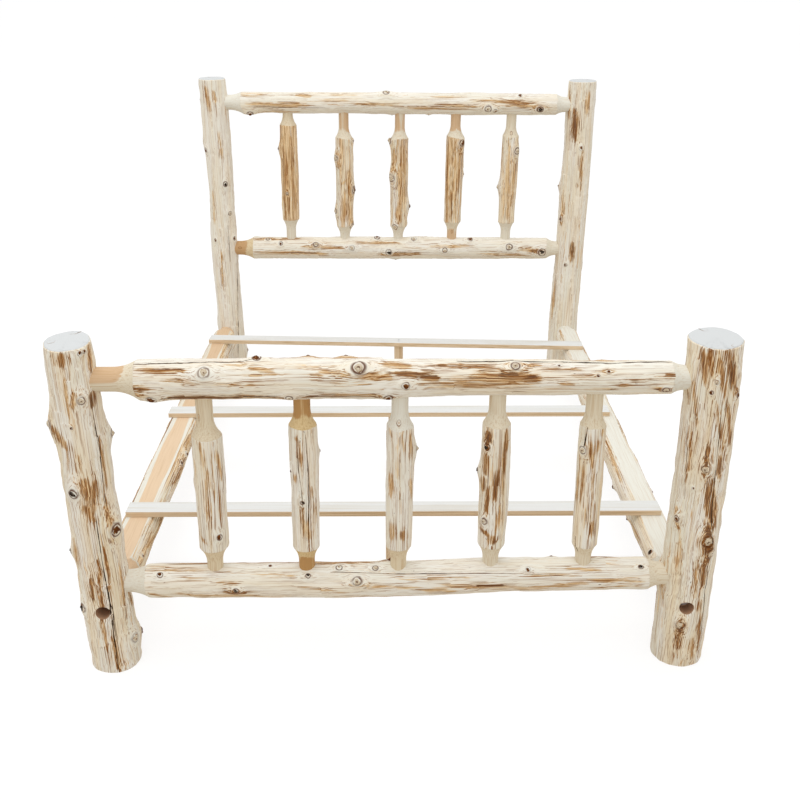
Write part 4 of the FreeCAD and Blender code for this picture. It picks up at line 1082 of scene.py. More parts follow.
def knot_tree():
    """Geometry Nodes: a domed branch stub on every knot point, turned to its log."""
    tree = bpy.data.node_groups.new("Knots on a log", "GeometryNodeTree")
    face = tree.interface
    face.new_socket(name="Knot places", in_out="INPUT", socket_type="NodeSocketGeometry")
    for name, value in (
        ("Dome height", 0.28), ("Rim depth", 0.5), ("Length share", 1.15), ("Raggedness", 0.9),
    ):
        socket = face.new_socket(name=name, in_out="INPUT", socket_type="NodeSocketFloat")
        socket.default_value = value
    face.new_socket(name="Finish", in_out="INPUT", socket_type="NodeSocketMaterial")
    face.new_socket(name="Knots", in_out="OUTPUT", socket_type="NodeSocketGeometry")
    add = partial(add_node, tree)
    given = add("NodeGroupInput").outputs
    stub = add("GeometryNodeMeshCone", {"fill_type": "NONE"}, {
        "Vertices": 20, "Side Segments": 6, "Radius Top": 0.0, "Radius Bottom": 1.0,
        "Depth": 1.0})
    flat = add("ShaderNodeVectorMath", {"operation": "MULTIPLY"}, {
        0: add("GeometryNodeInputPosition"), 1: (1, 1, 0)})
    reach = add("ShaderNodeVectorMath", {"operation": "LENGTH"}, {0: flat}).outputs["Value"]
    known = add("GeometryNodeStoreNamedAttribute", {"data_type": "FLOAT", "domain": "POINT"}, {
        "Geometry": stub.outputs["Mesh"], "Name": "knot_reach", "Value": reach})
    fall = add("ShaderNodeMath", {"operation": "POWER"}, {0: reach, 1: 2.4})
    drop = add("ShaderNodeMath", {"operation": "ADD"}, {
        0: given["Dome height"], 1: given["Rim depth"]})
    lowered = add("ShaderNodeMath", {"operation": "MULTIPLY"}, {0: fall, 1: drop})
    height = add("ShaderNodeMath", {"operation": "SUBTRACT"}, {
        0: given["Dome height"], 1: lowered})
    lift = add("ShaderNodeCombineXYZ", {}, {"Z": height})
    domed = add("GeometryNodeSetPosition", {}, {
        "Geometry": known, "Position": add(
            "ShaderNodeVectorMath", {"operation": "ADD"}, {0: flat, 1: lift})})
    told = {}
    for name, kind in (
        ("knot_outward", "FLOAT_VECTOR"), ("knot_along", "FLOAT_VECTOR"), ("knot_radius", "FLOAT"),
    ):
        told[name] = add("GeometryNodeInputNamedAttribute", {"data_type": kind}, {"Name": name})
    upright = add("FunctionNodeAlignRotationToVector", {"axis": "Z"}, {
        "Vector": told["knot_outward"]})
    turned = add("FunctionNodeAlignRotationToVector", {"axis": "X", "pivot_axis": "Z"}, {
        "Rotation": upright, "Vector": told["knot_along"]})
    long_radius = add("ShaderNodeMath", {"operation": "MULTIPLY"}, {
        0: told["knot_radius"], 1: given["Length share"]})
    scale = add("ShaderNodeCombineXYZ", {}, {
        "X": long_radius, "Y": told["knot_radius"], "Z": told["knot_radius"]})
    placed = add("GeometryNodeInstanceOnPoints", {}, {
        "Points": given["Knot places"], "Instance": domed, "Rotation": turned, "Scale": scale})
    real = add("GeometryNodeRealizeInstances", {}, {"Geometry": placed})
    torn = add("ShaderNodeTexNoise", {"noise_dimensions": "3D"}, {
        "Scale": 1 / (KNOT_WAVE * MM), "Detail": 1.0})
    aside = add("ShaderNodeVectorMath", {"operation": "SUBTRACT"}, {
        0: torn.outputs["Color"], 1: (0.5, 0.5, 0.5)})
    reached = add("ShaderNodeMath", {"operation": "MULTIPLY"}, {
        0: told["knot_radius"], 1: given["Raggedness"]})
    offset = add("ShaderNodeVectorMath", {"operation": "SCALE"}, {0: aside, "Scale": reached})
    ragged = add("GeometryNodeSetPosition", {}, {"Geometry": real, "Offset": offset})
    smooth = add("GeometryNodeSetShadeSmooth", {}, {"Geometry": ragged})
    finished = add("GeometryNodeSetMaterial", {}, {
        "Geometry": smooth, "Material": given["Finish"]})
    add("NodeGroupOutput", {}, {"Knots": finished})
    return tree


def knots_piece(knots, sizes, finish):
    """One mesh of all knots on the bed frame, from the knot tree."""
    mesh = bpy.data.meshes.new("knot_places")
    mesh.from_pydata([knot[0] for knot in knots], [], [])
    for name, place, kind in (
        ("knot_outward", 1, "FLOAT_VECTOR"), ("knot_along", 2, "FLOAT_VECTOR"),
        ("knot_radius", 3, "FLOAT"), ("knot_kind", 4, "FLOAT"),
    ):
        layer = mesh.attributes.new(name, kind, "POINT")
        numbers = np.array([knot[place] for knot in knots], np.float32).ravel()
        layer.data.foreach_set("vector" if kind == "FLOAT_VECTOR" else "value", numbers)
    places = bpy.data.objects.new("knot_places", mesh)
    bpy.context.scene.collection.objects.link(places)
    tree = knot_tree()
    modifier = places.modifiers.new("Knots", "NODES")
    modifier.node_group = tree
    values = {
        "Dome height": sizes.knot_dome, "Rim depth": sizes.knot_rim_depth,
        "Length share": sizes.knot_length_share, "Raggedness": sizes.knot_raggedness,
        "Finish": finish}
    for item in tree.interface.items_tree:
        if item.name in values:
            modifier[item.identifier] = values[item.name]
    places.update_tag()
    seen = places.evaluated_get(bpy.context.evaluated_depsgraph_get())
    real = bpy.data.meshes.new_from_object(seen)
    bpy.data.objects.remove(places)
    real.name = "log_knots"
    piece = bpy.data.objects.new("log_knots", real)
    bpy.context.scene.collection.objects.link(piece)
    return piece


# Grain patterns of the logs: width and length of one streak in mm, detail, roughness.
LOG_GRAINS = {
    "thread": (2.1, 150, 2.0, 0.6),
    "fibre": (3.6, 210, 3.0, 0.6),
    "streak": (8.0, 280, 4.0, 0.6),
    "ragged": (8.5, 62, 5.0, 0.65),
    "broad": (46, 260, 2.0, 0.5),
    "warm": (34, 420, 3.0, 0.55),
    "cover": (20, 240, 5.0, 0.65),
    "line": (2.4, 330, 2.0, 0.5),
    "fleck": (5.0, 16, 2.0, 0.5),
    "blotch": (13, 18, 2.0, 0.5),
}


def drawn_grains(add, place, grains):
    """Noise patterns over a place, each drawn out to its own width and length in mm."""
    found = {}
    for name, (across, sideways, along, detail, roughness) in grains.items():
        steps = (1 / (across * MM), 1 / (sideways * MM), 1 / (along * MM))
        drawn = add("ShaderNodeVectorMath", {"operation": "MULTIPLY"}, {0: place, 1: steps})
        found[name] = add("ShaderNodeTexNoise", {}, {
            "Vector": drawn, "Scale": 1.0, "Detail": detail, "Roughness": roughness})
    return found


def peeled_log_finish(colours):
    """Peeled cedar log: bark drawn off by knife, so ivory sapwood with torn brown
    patches of inner bark, dark fibre lines, and clean turned ends."""
    finish, tree = new_finish("Knife-peeled cedar log")
    add = partial(add_node, tree)
    smooth, tint = {"interpolation_type": "SMOOTHSTEP"}, {"data_type": "RGBA"}
    times, plus = {"operation": "MULTIPLY"}, {"operation": "MULTIPLY_ADD"}
    place = add("ShaderNodeAttribute", {"attribute_name": "grain_place"}).outputs["Vector"]
    fact = {}
    for name in WOOD_FACTS:
        fact[name] = add("ShaderNodeAttribute", {"attribute_name": name}).outputs["Fac"]
    grain = drawn_grains(add, place, {
        name: (width, width, length, detail, roughness)
        for name, (width, length, detail, roughness) in LOG_GRAINS.items()})

    # Sapwood: ivory with greyer patches, darker streaks and fine fibres, which
    # show most on logs that keep more bark.
    skin = colours.sapwood
    lined = add("ShaderNodeMapRange", {}, {0: fact["bark"], 1: 0.05, 2: 0.25, 3: 0.25, 4: 0.65})
    for name, low, high, share, colour in (
        ("broad", 0.42, 0.62, 1.0, colours.grey_sapwood),
        ("warm", 0.44, 0.62, 0.85, colours.warm_sapwood),
        ("streak", 0.46, 0.68, 0.8, colours.dark_sapwood),
        ("fibre", 0.56, 0.68, 0.5, colours.fibre),
        ("thread", 0.55, 0.67, 0.8, colours.fibre),
    ):
        amount = add("ShaderNodeMapRange", smooth, {0: grain[name], 1: low, 2: high, 4: share})
        amount = add("ShaderNodeMath", times, {0: amount, 1: lined})
        skin = add("ShaderNodeMix", tint, {0: amount, 6: skin, 7: colour})

    # Inner bark that the knife left: a thin streaky cover, and the torn patches.
    frayed = add("ShaderNodeMath", plus, {0: grain["thread"], 1: 0.5, 2: grain["cover"]})
    frayed = add("ShaderNodeMath", plus, {0: fact["bark"], 1: 0.42, 2: frayed})
    cover = add("ShaderNodeMapRange", smooth, {0: frayed, 1: 0.925, 2: 0.985, 4: 0.8})
    torn = fact["stain"]
    for name, reach in (("ragged", 17.0), ("thread", 10.0), ("line", 19.0)):
        torn = add("ShaderNodeMath", plus, {0: grain[name], 1: reach, 2: torn})
    under = add("ShaderNodeMapRange", smooth, {0: torn, 1: 20.6, 2: 23.0, 4: 0.55})
    patch = add("ShaderNodeMapRange", smooth, {0: torn, 1: 23.0, 2: 25.0, 4: 0.92})
    leaning = add("ShaderNodeMath", plus, {0: grain["streak"], 1: 2.8, 2: -3.25})
    fibre_tone = add("ShaderNodeMath", plus, {0: grain["thread"], 1: 3.0, 2: leaning})
    cover_tone = add("ShaderNodeMath", {"operation": "ADD"}, {0: fibre_tone, 1: 0.32})
    under_tone = add("ShaderNodeMath", {"operation": "ADD"}, {0: leaning, 1: 2.0})
    thick = add("ShaderNodeMapRange", {}, {0: torn, 1: 22.5, 2: 29.0, 3: -0.3, 4: 0.25})
    patch_tone = add("ShaderNodeMath", plus, {0: fact["stain_tone"], 1: 0.75, 2: fibre_tone})
    patch_tone = add("ShaderNodeMath", {"operation": "ADD"}, {0: patch_tone, 1: thick})
    for share, tone in ((cover, cover_tone), (under, under_tone), (patch, patch_tone)):
        ramp = add("ShaderNodeValToRGB", {}, {"Fac": tone})
        ends = ramp.color_ramp.elements
        ends[0].color, ends[1].color = colours.thin_bark, colours.dark_bark
        ends[1].position = 0.95
        ends.new(0.42).color = colours.inner_bark
        skin = add("ShaderNodeMix", tint, {0: share, 6: skin, 7: ramp})

    # Dark fibre lines, most of them beside the patches, and short flecks.
    beside = add("ShaderNodeMapRange", smooth, {0: fact["stain"], 1: -11.0, 2: 0.0, 3: 0.3})
    beside = add("ShaderNodeMath", plus, {0: fact["bark"], 1: 1.0, 2: beside})
    for low, high, share, colour in (
        (0.53, 0.59, 0.4, colours.inner_bark), (0.58, 0.62, 0.8, colours.dark_fibre),
    ):
        line = add("ShaderNodeMapRange", smooth, {0: grain["line"], 1: low, 2: high, 4: share})
        line = add("ShaderNodeMath", times, {0: line, 1: beside})
        skin = add("ShaderNodeMix", tint, {0: line, 6: skin, 7: colour})
    fleck = add("ShaderNodeMapRange", smooth, {0: grain["fleck"], 1: 0.74, 2: 0.78, 4: 0.75})
    skin = add("ShaderNodeMix", tint, {0: fleck, 6: skin, 7: colours.dark_bark})

    # Collars of the knots: shaved pale by the knife except in the darkest bark, with
    # dark broken crescents.
    gap = add("ShaderNodeMath", plus, {0: grain["blotch"], 1: 1.1, 2: fact["knot_gap"]})
    shaved = add("ShaderNodeMapRange", smooth, {0: gap, 1: 1.6, 2: 2.5, 3: 0.55, 4: 0.0})
    spared = add(
        "ShaderNodeMapRange", {}, {0: fact["stain_tone"], 1: 1.3, 2: 1.5, 3: 1.0, 4: 0.0})
    shaved = add("ShaderNodeMath", times, {0: shaved, 1: spared})
    skin = add("ShaderNodeMix", tint, {0: shaved, 6: skin, 7: colours.turned_wood})
    inside = add("ShaderNodeMapRange", smooth, {0: gap, 1: 1.33, 2: 1.45})
    outside = add("ShaderNodeMapRange", smooth, {0: gap, 1: 1.55, 2: 1.95, 3: 0.9, 4: 0.0})
    crescent = add("ShaderNodeMath", times, {0: inside, 1: outside})
    broken = add("ShaderNodeMapRange", smooth, {0: grain["streak"], 1: 0.4, 2: 0.52, 3: 0.3})
    crescent = add("ShaderNodeMath", times, {0: crescent, 1: broken})
    skin = add("ShaderNodeMix", tint, {0: crescent, 6: skin, 7: colours.dark_bark})

    # Turned and sawn wood: clean, pale outside, peach or golden in the heart.
    sway = add("ShaderNodeMath", plus, {0: grain["streak"], 1: 7.0, 2: fact["heart"]})
    core = add("ShaderNodeMapRange", smooth, {0: sway, 1: 2.7, 2: 4.3})
    heart = add("ShaderNodeMix", tint, {
        0: fact["gold"], 6: colours.heartwood, 7: colours.golden_wood})
    outer = add("ShaderNodeMix", tint, {
        0: fact["gold"], 6: colours.turned_wood, 7: colours.tan_wood})
    turned = add("ShaderNodeMix", tint, {0: core, 6: outer, 7: heart})
    grained = add("ShaderNodeMapRange", {}, {0: fact["gold"], 3: 0.35, 4: 1.0})
    for name, low, high, share in (("fibre", 0.5, 0.7, 0.6), ("thread", 0.52, 0.68, 0.6)):
        amount = add("ShaderNodeMapRange", smooth, {0: grain[name], 1: low, 2: high, 4: share})
        amount = add("ShaderNodeMath", times, {0: amount, 1: grained})
        turned = add("ShaderNodeMix", tint, {0: amount, 6: turned, 7: colours.turned_grain})
    # Knots that the turning has cut flush: a brown eye in a thin dark ring.
    eye = add("ShaderNodeMapRange", smooth, {0: gap, 1: 0.8, 2: 1.15, 3: 0.6, 4: 0.0})
    turned = add("ShaderNodeMix", tint, {0: eye, 6: turned, 7: colours.inner_bark})
    turned = add("ShaderNodeMix", tint, {0: crescent, 6: turned, 7: colours.dark_fibre})
    edge = add("ShaderNodeMath", plus, {0: grain["ragged"], 1: 2.4, 2: fact["cut_depth"]})
    cut = add("ShaderNodeMapRange", smooth, {0: edge, 1: 1.1, 2: 1.55})
    wood = add("ShaderNodeMix", tint, {0: cut, 6: skin, 7: turned})

    # Sawn tops: pale end grain with growth rings; bored holes: brown, partly the wood and partly
    # painted shade of the hole.
    turns = add("ShaderNodeMath", times, {0: fact["heart"], 1: 2 * math.pi / GROWTH_RING})
    wave = add("ShaderNodeMath", {"operation": "SINE"}, {0: turns})
    ring = add("ShaderNodeMapRange", smooth, {0: wave, 1: -0.3, 2: 1.0, 4: 0.5})
    top = add("ShaderNodeMix", tint, {0: ring, 6: colours.end_grain, 7: colours.end_ring})
    for limit, colour in ((0.5, top), (1.5, colours.bored_wood_and_shade)):
        share = add("ShaderNodeMath", {"operation": "GREATER_THAN"}, {
            0: fact["sawn_end"], 1: limit})
        wood = add("ShaderNodeMix", tint, {0: share, 6: wood, 7: colour})

    # Drying cracks: nearly black inside, with a brown lip, wider and narrower.
    wander = add("ShaderNodeMath", plus, {0: grain["ragged"], 1: 2.2, 2: fact["crack_side"]})
    wander = add("ShaderNodeMath", {"operation": "SUBTRACT"}, {0: wander, 1: 1.1})
    wander = add("ShaderNodeMath", {"operation": "ABSOLUTE"}, {0: wander})
    width = add(
        "ShaderNodeMapRange", smooth, {0: grain["ragged"], 1: 0.38, 2: 0.6, 3: 0.3, 4: 1.2})
    width = add("ShaderNodeMath", times, {0: width, 1: fact["crack_half"]})
    depth = add("ShaderNodeMath", {"operation": "SUBTRACT"}, {0: width, 1: wander})
    cracked = add("ShaderNodeMapRange", smooth, {0: fact["crack_half"], 1: 0.02, 2: 0.2})
    for low, high, share, colour in (
        (-1.6, 0.1, 0.5, colours.inner_bark), (-0.3, 0.35, 1.0, colours.crack),
    ):
        deep = add("ShaderNodeMapRange", smooth, {0: depth, 1: low, 2: high, 4: share})
        deep = add("ShaderNodeMath", times, {0: deep, 1: cracked})
        wood = add("ShaderNodeMix", tint, {0: deep, 6: wood, 7: colour})

    # Relief: fibres and bark stand up, cracks sink, and turned wood is smoother.
    height = patch
    for name, share in (("streak", 0.5), ("fibre", 0.4), ("thread", 0.5)):
        height = add("ShaderNodeMath", plus, {0: grain[name], 1: share, 2: height})
    smoothed = add("ShaderNodeMapRange", {}, {0: cut, 3: 1.0, 4: 0.2})
    height = add("ShaderNodeMath", times, {0: height, 1: smoothed})
    height = add("ShaderNodeMath", plus, {0: deep, 1: -2.2, 2: height})
    bump = add("ShaderNodeBump", {}, {"Strength": 0.6, "Distance": 0.0016, "Height": height})
    dull = add("ShaderNodeMapRange", {}, {0: grain["fibre"], 1: 0.3, 2: 0.7, 3: 0.52, 4: 0.72})
    surface = add("ShaderNodeBsdfPrincipled", {}, {
        "Base Color": wood, "Roughness": dull, "Normal": bump, "Specular IOR Level": WOOD_SHEEN})
    add("ShaderNodeOutputMaterial", {}, {"Surface": surface})
    return finish


def knot_finish(colours):
    """Cut branch stub: end grain of a small branch, pale or dark, with bark in parts
    of its rim."""
    finish, tree = new_finish("Knife-cut branch knot")
    add = partial(add_node, tree)
    smooth, tint = {"interpolation_type": "SMOOTHSTEP"}, {"data_type": "RGBA"}
    times, plus = {"operation": "MULTIPLY"}, {"operation": "MULTIPLY_ADD"}
    place = add("ShaderNodeTexCoord").outputs["Object"]
    fact = {}
    for name in ("knot_reach", "knot_kind"):
        fact[name] = add("ShaderNodeAttribute", {"attribute_name": name}).outputs["Fac"]
    grain = drawn_grains(add, place, {
        "bark": (11, 11, 11, 2.0, 0.5), "patch": (6, 6, 6, 3.0, 0.5),
        "grit": (2, 2, 2, 3.0, 0.5)})

    # Sound face with faint rings; it reaches 0.5 higher than the stub's own reach.
    reach = add("ShaderNodeMath", plus, {0: grain["patch"], 1: 1.0, 2: fact["knot_reach"]})
    turns = add("ShaderNodeMath", times, {0: reach, 1: 21.0})
    wave = add("ShaderNodeMath", {"operation": "SINE"}, {0: turns})
    ring = add("ShaderNodeMapRange", smooth, {0: wave, 1: 0.0, 2: 1.0, 4: 0.45})
    pale = add("ShaderNodeMix", tint, {0: ring, 6: colours.knot_face, 7: colours.knot_ring})
    pith = add("ShaderNodeMapRange", smooth, {0: reach, 1: 0.66, 2: 0.76, 3: 0.8, 4: 0.0})
    pale = add("ShaderNodeMix", tint, {0: pith, 6: pale, 7: colours.dark_bark})
    # Dead branch: a nearly black heart with pale grit.
    heart = add("ShaderNodeMapRange", smooth, {0: reach, 1: 1.3, 2: 1.45, 3: 1.0, 4: 0.0})
    grit = add("ShaderNodeMapRange", smooth, {0: grain["grit"], 1: 0.6, 2: 0.68})
    grit = add("ShaderNodeMath", times, {0: heart, 1: grit})
    dark = add("ShaderNodeMix", tint, {0: heart, 6: pale, 7: colours.crack})
    dark = add("ShaderNodeMix", tint, {0: grit, 6: dark, 7: colours.knot_face})
    # Bark-covered stub, and a small dark speck.
    barked = add("ShaderNodeMapRange", smooth, {0: grain["patch"], 1: 0.2, 2: 0.48})
    brown = add("ShaderNodeMix", tint, {0: barked, 6: colours.inner_bark, 7: colours.dark_bark})
    face = pale
    for limit, other in ((1.5, dark), (2.5, brown), (3.5, colours.dark_bark)):
        share = add("ShaderNodeMath", {"operation": "GREATER_THAN"}, {
            0: fact["knot_kind"], 1: limit})
        face = add("ShaderNodeMix", tint, {0: share, 6: face, 7: other})
    # Bark that is left in parts of the rim.
    rim = add("ShaderNodeMapRange", smooth, {0: reach, 1: 1.22, 2: 1.36})
    part = add("ShaderNodeMapRange", smooth, {0: grain["bark"], 1: 0.38, 2: 0.5, 3: 0.45})
    rim = add("ShaderNodeMath", times, {0: rim, 1: part})
    face = add("ShaderNodeMix", tint, {0: rim, 6: face, 7: colours.dark_fibre})
    bump = add("ShaderNodeBump", {}, {
        "Strength": 0.4, "Distance": 0.001, "Height": grain["grit"]})
    dull = add("ShaderNodeMapRange", {}, {0: grain["grit"], 1: 0.3, 2: 0.7, 3: 0.5, 4: 0.7})
    surface = add("ShaderNodeBsdfPrincipled", {}, {
        "Base Color": face, "Roughness": dull, "Normal": bump, "Specular IOR Level": WOOD_SHEEN})
    add("ShaderNodeOutputMaterial", {}, {"Surface": surface})
    return finish


def planed_board_finish(name, colours, along):
    """Planed pine board: near-white faces, tan sawn edges with painted shade on the upright sides,
    fine straight grain.
    """
    finish, tree = new_finish(name)
    add = partial(add_node, tree)
    smooth, tint = {"interpolation_type": "SMOOTHSTEP"}, {"data_type": "RGBA"}
    places = add("ShaderNodeTexCoord").outputs
    # Growth lines 5 mm apart and fibres 2 mm wide, both drawn out along the board.
    grain = drawn_grains(add, places["Object"], {
        key: tuple(length if axis == along else width for axis in range(3)) + (detail, 0.5)
        for key, width, length, detail in (
            ("growth", 5, 420, 3.0), ("fibre", 2.2, 60, 2.0), ("cloud", 60, 300, 2.0))})
    # Upright sides take the edge colours instead of the face colour: partly the tan sawn wood,
    # partly painted shade where less light falls on them.
    upright = add("ShaderNodeSeparateXYZ", {}, {"Vector": places["Normal"]}).outputs["Z"]
    upright = add("ShaderNodeMath", {"operation": "ABSOLUTE"}, {0: upright})
    faced = add("ShaderNodeMapRange", smooth, {0: upright, 1: 0.55, 2: 0.85})
    face = colours.slat_face
    for key, low, high, share in (("growth", 0.5, 0.68, 0.5), ("cloud", 0.5, 0.7, 0.35)):
        amount = add("ShaderNodeMapRange", smooth, {0: grain[key], 1: low, 2: high, 4: share})
        face = add("ShaderNodeMix", tint, {0: amount, 6: face, 7: colours.slat_grain})
    dark = add("ShaderNodeMapRange", smooth, {0: grain["growth"], 1: 0.45, 2: 0.62})
    edge = add("ShaderNodeMix", tint, {0: dark, 6: colours.sawn_edge_and_shade, 7: colours.sawn_edge_line_and_shade})
    wood = add("ShaderNodeMix", tint, {0: faced, 6: edge, 7: face})
    bump = add("ShaderNodeBump", {}, {
        "Strength": 0.25, "Distance": 0.0006, "Height": grain["fibre"]})
    dull = add("ShaderNodeMapRange", {}, {0: grain["fibre"], 1: 0.3, 2: 0.7, 3: 0.5, 4: 0.62})
    surface = add("ShaderNodeBsdfPrincipled", {}, {
        "Base Color": wood, "Roughness": dull, "Normal": bump, "Specular IOR Level": WOOD_SHEEN})
    add("ShaderNodeOutputMaterial", {}, {"Surface": surface})
    return finish


def zinc_steel_finish(colours):
    """Bright zinc-plated steel: silver-grey, with fine turning scratches."""
    finish, tree = new_finish("Bright zinc-plated steel")
    add = partial(add_node, tree)
    place = add("ShaderNodeTexCoord").outputs["Object"]
    # Scratches 0.8 mm apart and 9 mm long: finer ones would not show.
    scratch = drawn_grains(add, place, {"scratch": (0.8, 9, 0.8, 3.0, 0.5)})["scratch"]
    rough = add("ShaderNodeMapRange", {}, {
        "Value": scratch, "From Min": 0.3, "From Max": 0.7, "To Min": 0.28, "To Max": 0.46})
    bump = add("ShaderNodeBump", {}, {
        "Strength": 0.2, "Distance": 0.0002, "Height": scratch})
    surface = add("ShaderNodeBsdfPrincipled", {}, {
        "Base Color": tuple(colours.zinc), "Metallic": 1.0, "Roughness": rough, "Normal": bump})
    add("ShaderNodeOutputMaterial", {}, {"Surface": surface})
    return finish


class LogBedSizes(bpy.types.PropertyGroup):
    """Sizes of the logs' surface that a user would change."""

    row_spacing: bpy.props.FloatProperty(
        name="Row spacing", description="Distance between the rows of points along a log",
        default=3.4 * MM, min=1.5 * MM, unit="LENGTH")
    lump_height: bpy.props.FloatProperty(
        name="Lump height", description="Slow swellings and hollows of the grown log",
        default=1.3 * MM, min=0, unit="LENGTH")
    stroke_depth: bpy.props.FloatProperty(
        name="Knife stroke depth", description="Depth of the flats that the drawknife leaves",
        default=1.5 * MM, min=0, unit="LENGTH")
    knot_swelling: bpy.props.FloatProperty(
        name="Knot swelling", description="Height of a knot's collar, as a share of its size",
        default=0.45, min=0, max=0.8)
    knot_dome: bpy.props.FloatProperty(
        name="Knot dome", description="Height of a knot's face, as a share of its radius",
        default=0.28, min=0, max=0.5)
    knot_rim_depth: bpy.props.FloatProperty(
        name="Knot rim depth",
        description="How far a knot's rim sinks in, as a share of its radius",
        default=0.5, min=0, max=1)
    knot_size_share: bpy.props.FloatProperty(
        name="Knot size", description="Size of the knots, as a share of their listed size",
        default=0.8, min=0.1, max=2)
    knot_raggedness: bpy.props.FloatProperty(
        name="Knot raggedness", description="Dents in a knot's outline, as a share of its radius",
        default=0.9, min=0, max=3)
    knot_length_share: bpy.props.FloatProperty(
        name="Knot length", description="Length of a knot along the log, as a share of its width",
        default=1.15, min=0.5, max=3)
    seed: bpy.props.IntProperty(
        name="Seed", description="Chooses the lumps, strokes and unseen knots", default=11, min=0)


class LogBedColours(bpy.types.PropertyGroup):
    """Colours of the wood and the steel."""

    sapwood: colour_input("Sapwood", "#EEEBE1", "Ivory wood under the bark")
    grey_sapwood: colour_input("Grey sapwood", "#E6E3D0", "Weathered patches of the sapwood")
    warm_sapwood: colour_input("Warm sapwood", "#EFDAB4", "Warmer streaks in the sapwood")
    dark_sapwood: colour_input("Dark sapwood", "#DAC49A", "Broad streaks in the sapwood")
    fibre: colour_input("Fibre", "#B88E54", "Fine dark fibres")
    dark_fibre: colour_input("Dark fibre", "#855326", "Dark lines beside the bark patches")
    thin_bark: colour_input("Thin inner bark", "#ECD0A4", "Thinnest cover of inner bark")
    inner_bark: colour_input("Inner bark", "#BD8C55", "Torn patches of inner bark")
    dark_bark: colour_input("Dark bark", "#5C3110", "Bark left in hollows, and dark fibre lines")
    turned_wood: colour_input("Turned sapwood", "#E6E4D9", "Clean wood of the turned shoulders")
    heartwood: colour_input("Heartwood", "#E2C8A9", "Peach wood near the middle of a log")
    tan_wood: colour_input("Tan wood", "#DCC496", "Turned wood of logs with a golden heart")
    golden_wood: colour_input("Golden wood", "#B98E5C", "Resin-rich heart of some logs")
    turned_grain: colour_input("Turned grain", "#B8935F", "Fine grain in turned wood")
    end_grain: colour_input("End grain", "#D1D4D5", "Sawn tops of the posts")
    end_ring: colour_input("Growth rings", "#C3C2BE", "Rings in the sawn tops")
    # Partly the bored wood and partly painted shade inside the counterbores.
    bored_wood_and_shade: colour_input("Bored wood", "#B48E70", "Walls of the counterbores")
    crack: colour_input("Crack", "#24180F", "Inside of cracks and dark knots")
    knot_face: colour_input("Knot face", "#D2C4AC", "Sound face of a cut branch")
    knot_ring: colour_input("Knot ring", "#A08560", "Growth rings of a cut branch")
    slat_face: colour_input("Slat face", "#E0E1DF", "Planed faces of the slats")
    slat_grain: colour_input("Slat grain", "#CFC8B8", "Growth lines in the slats")
    # The two edge colours are partly the tan sawn wood and partly painted shade on the boards'
    # upright sides.
    sawn_edge_and_shade: colour_input("Slat edge", "#E0C9AA", "Sawn edges of the slats")
    sawn_edge_line_and_shade: colour_input("Dark slat edge", "#CDB28E", "Dark lines in the slats' edges")
    zinc: colour_input("Zinc", "#C6C8CA", "Bolts, washers and screws")
    floor: colour_input("Floor", "#D6CEC2", "Plain pale floor")


FINISHES = {}
LOGS_BUILT = []


def build_logs(kind):
    """Build every log of one kind in place of its CAD node."""
    scene = bpy.context.scene
    for name, row in LOGS.items():
        if row[0] != kind:
            continue
        log = PeeledLog(name, scene.log_bed_sizes)
        piece = log.build()
        piece.data.materials.append(log_finish())
        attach(piece, FRAME_BODY)
        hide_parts(name)
        LOGS_BUILT.append(log)


def log_finish():
    """The finish of the peeled logs, made once."""
    if "log" not in FINISHES:
        FINISHES["log"] = peeled_log_finish(bpy.context.scene.log_bed_colours)
    return FINISHES["log"]


def dress_nodes(names, finish):
    """Give CAD nodes that keep their shape a finish of their own."""
    for name in names:
        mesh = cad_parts[name].data
        mesh.materials.clear()
        mesh.materials.append(finish)


class LOGBED_OT_posts(bpy.types.Operator):
    """Build the four posts"""

    bl_idname = "logbed.posts"
    bl_label = "Posts"

    def execute(self, context):
        build_logs("post")
        return {"FINISHED"}


class LOGBED_OT_cross_rails(bpy.types.Operator):
    """Build the four cross rails with their turned ends"""

    bl_idname = "logbed.cross_rails"
    bl_label = "Cross rails"

    def execute(self, context):
        build_logs("cross")
        return {"FINISHED"}


class LOGBED_OT_side_rails(bpy.types.Operator):
    """Build the two side rails with their sawn tops"""

    bl_idname = "logbed.side_rails"
    bl_label = "Side rails"

    def execute(self, context):
        build_logs("side")
        return {"FINISHED"}


class LOGBED_OT_spindles(bpy.types.Operator):
    """Build the ten spindles"""

    bl_idname = "logbed.spindles"
    bl_label = "Spindles"

    def execute(self, context):
        build_logs("spindle")
        return {"FINISHED"}


class LOGBED_OT_knots(bpy.types.Operator):
    """Set the cut branch knots on all logs"""

    bl_idname = "logbed.knots"
    bl_label = "Knots"

    def execute(self, context):
        scene = context.scene
        knots = [knot for log in LOGS_BUILT for knot in log.knot_points()]
        piece = knots_piece(knots, scene.log_bed_sizes, knot_finish(scene.log_bed_colours))
        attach(piece, FRAME_BODY)
        return {"FINISHED"}


class LOGBED_OT_slats(bpy.types.Operator):
    """Finish the three slats and their legs"""

    bl_idname = "logbed.slats"
    bl_label = "Slats and legs"

    def execute(self, context):
        colours = context.scene.log_bed_colours
        board = planed_board_finish("Planed pine slat", colours, 0)
        leg = planed_board_finish("Planed pine leg", colours, 2)
        dress_nodes(["slat_" + place for place in SLAT_PLACES], board)
        dress_nodes(["slat_leg_" + place for place in SLAT_PLACES], leg)
        return {"FINISHED"}


class LOGBED_OT_steel(bpy.types.Operator):
    """Finish the rail bolts, washers, barrel nuts and leg screws"""

    bl_idname = "logbed.steel"
    bl_label = "Steel parts"

    def execute(self, context):
        zinc = zinc_steel_finish(context.scene.log_bed_colours)
        names = [
            part + place for part in ("rail_washer_", "rail_bolt_", "rail_barrel_nut_")
            for place in BOLT_PLACES]
        names += ["leg_screws_" + place for place in SLAT_PLACES]
        dress_nodes(names, zinc)
        return {"FINISHED"}


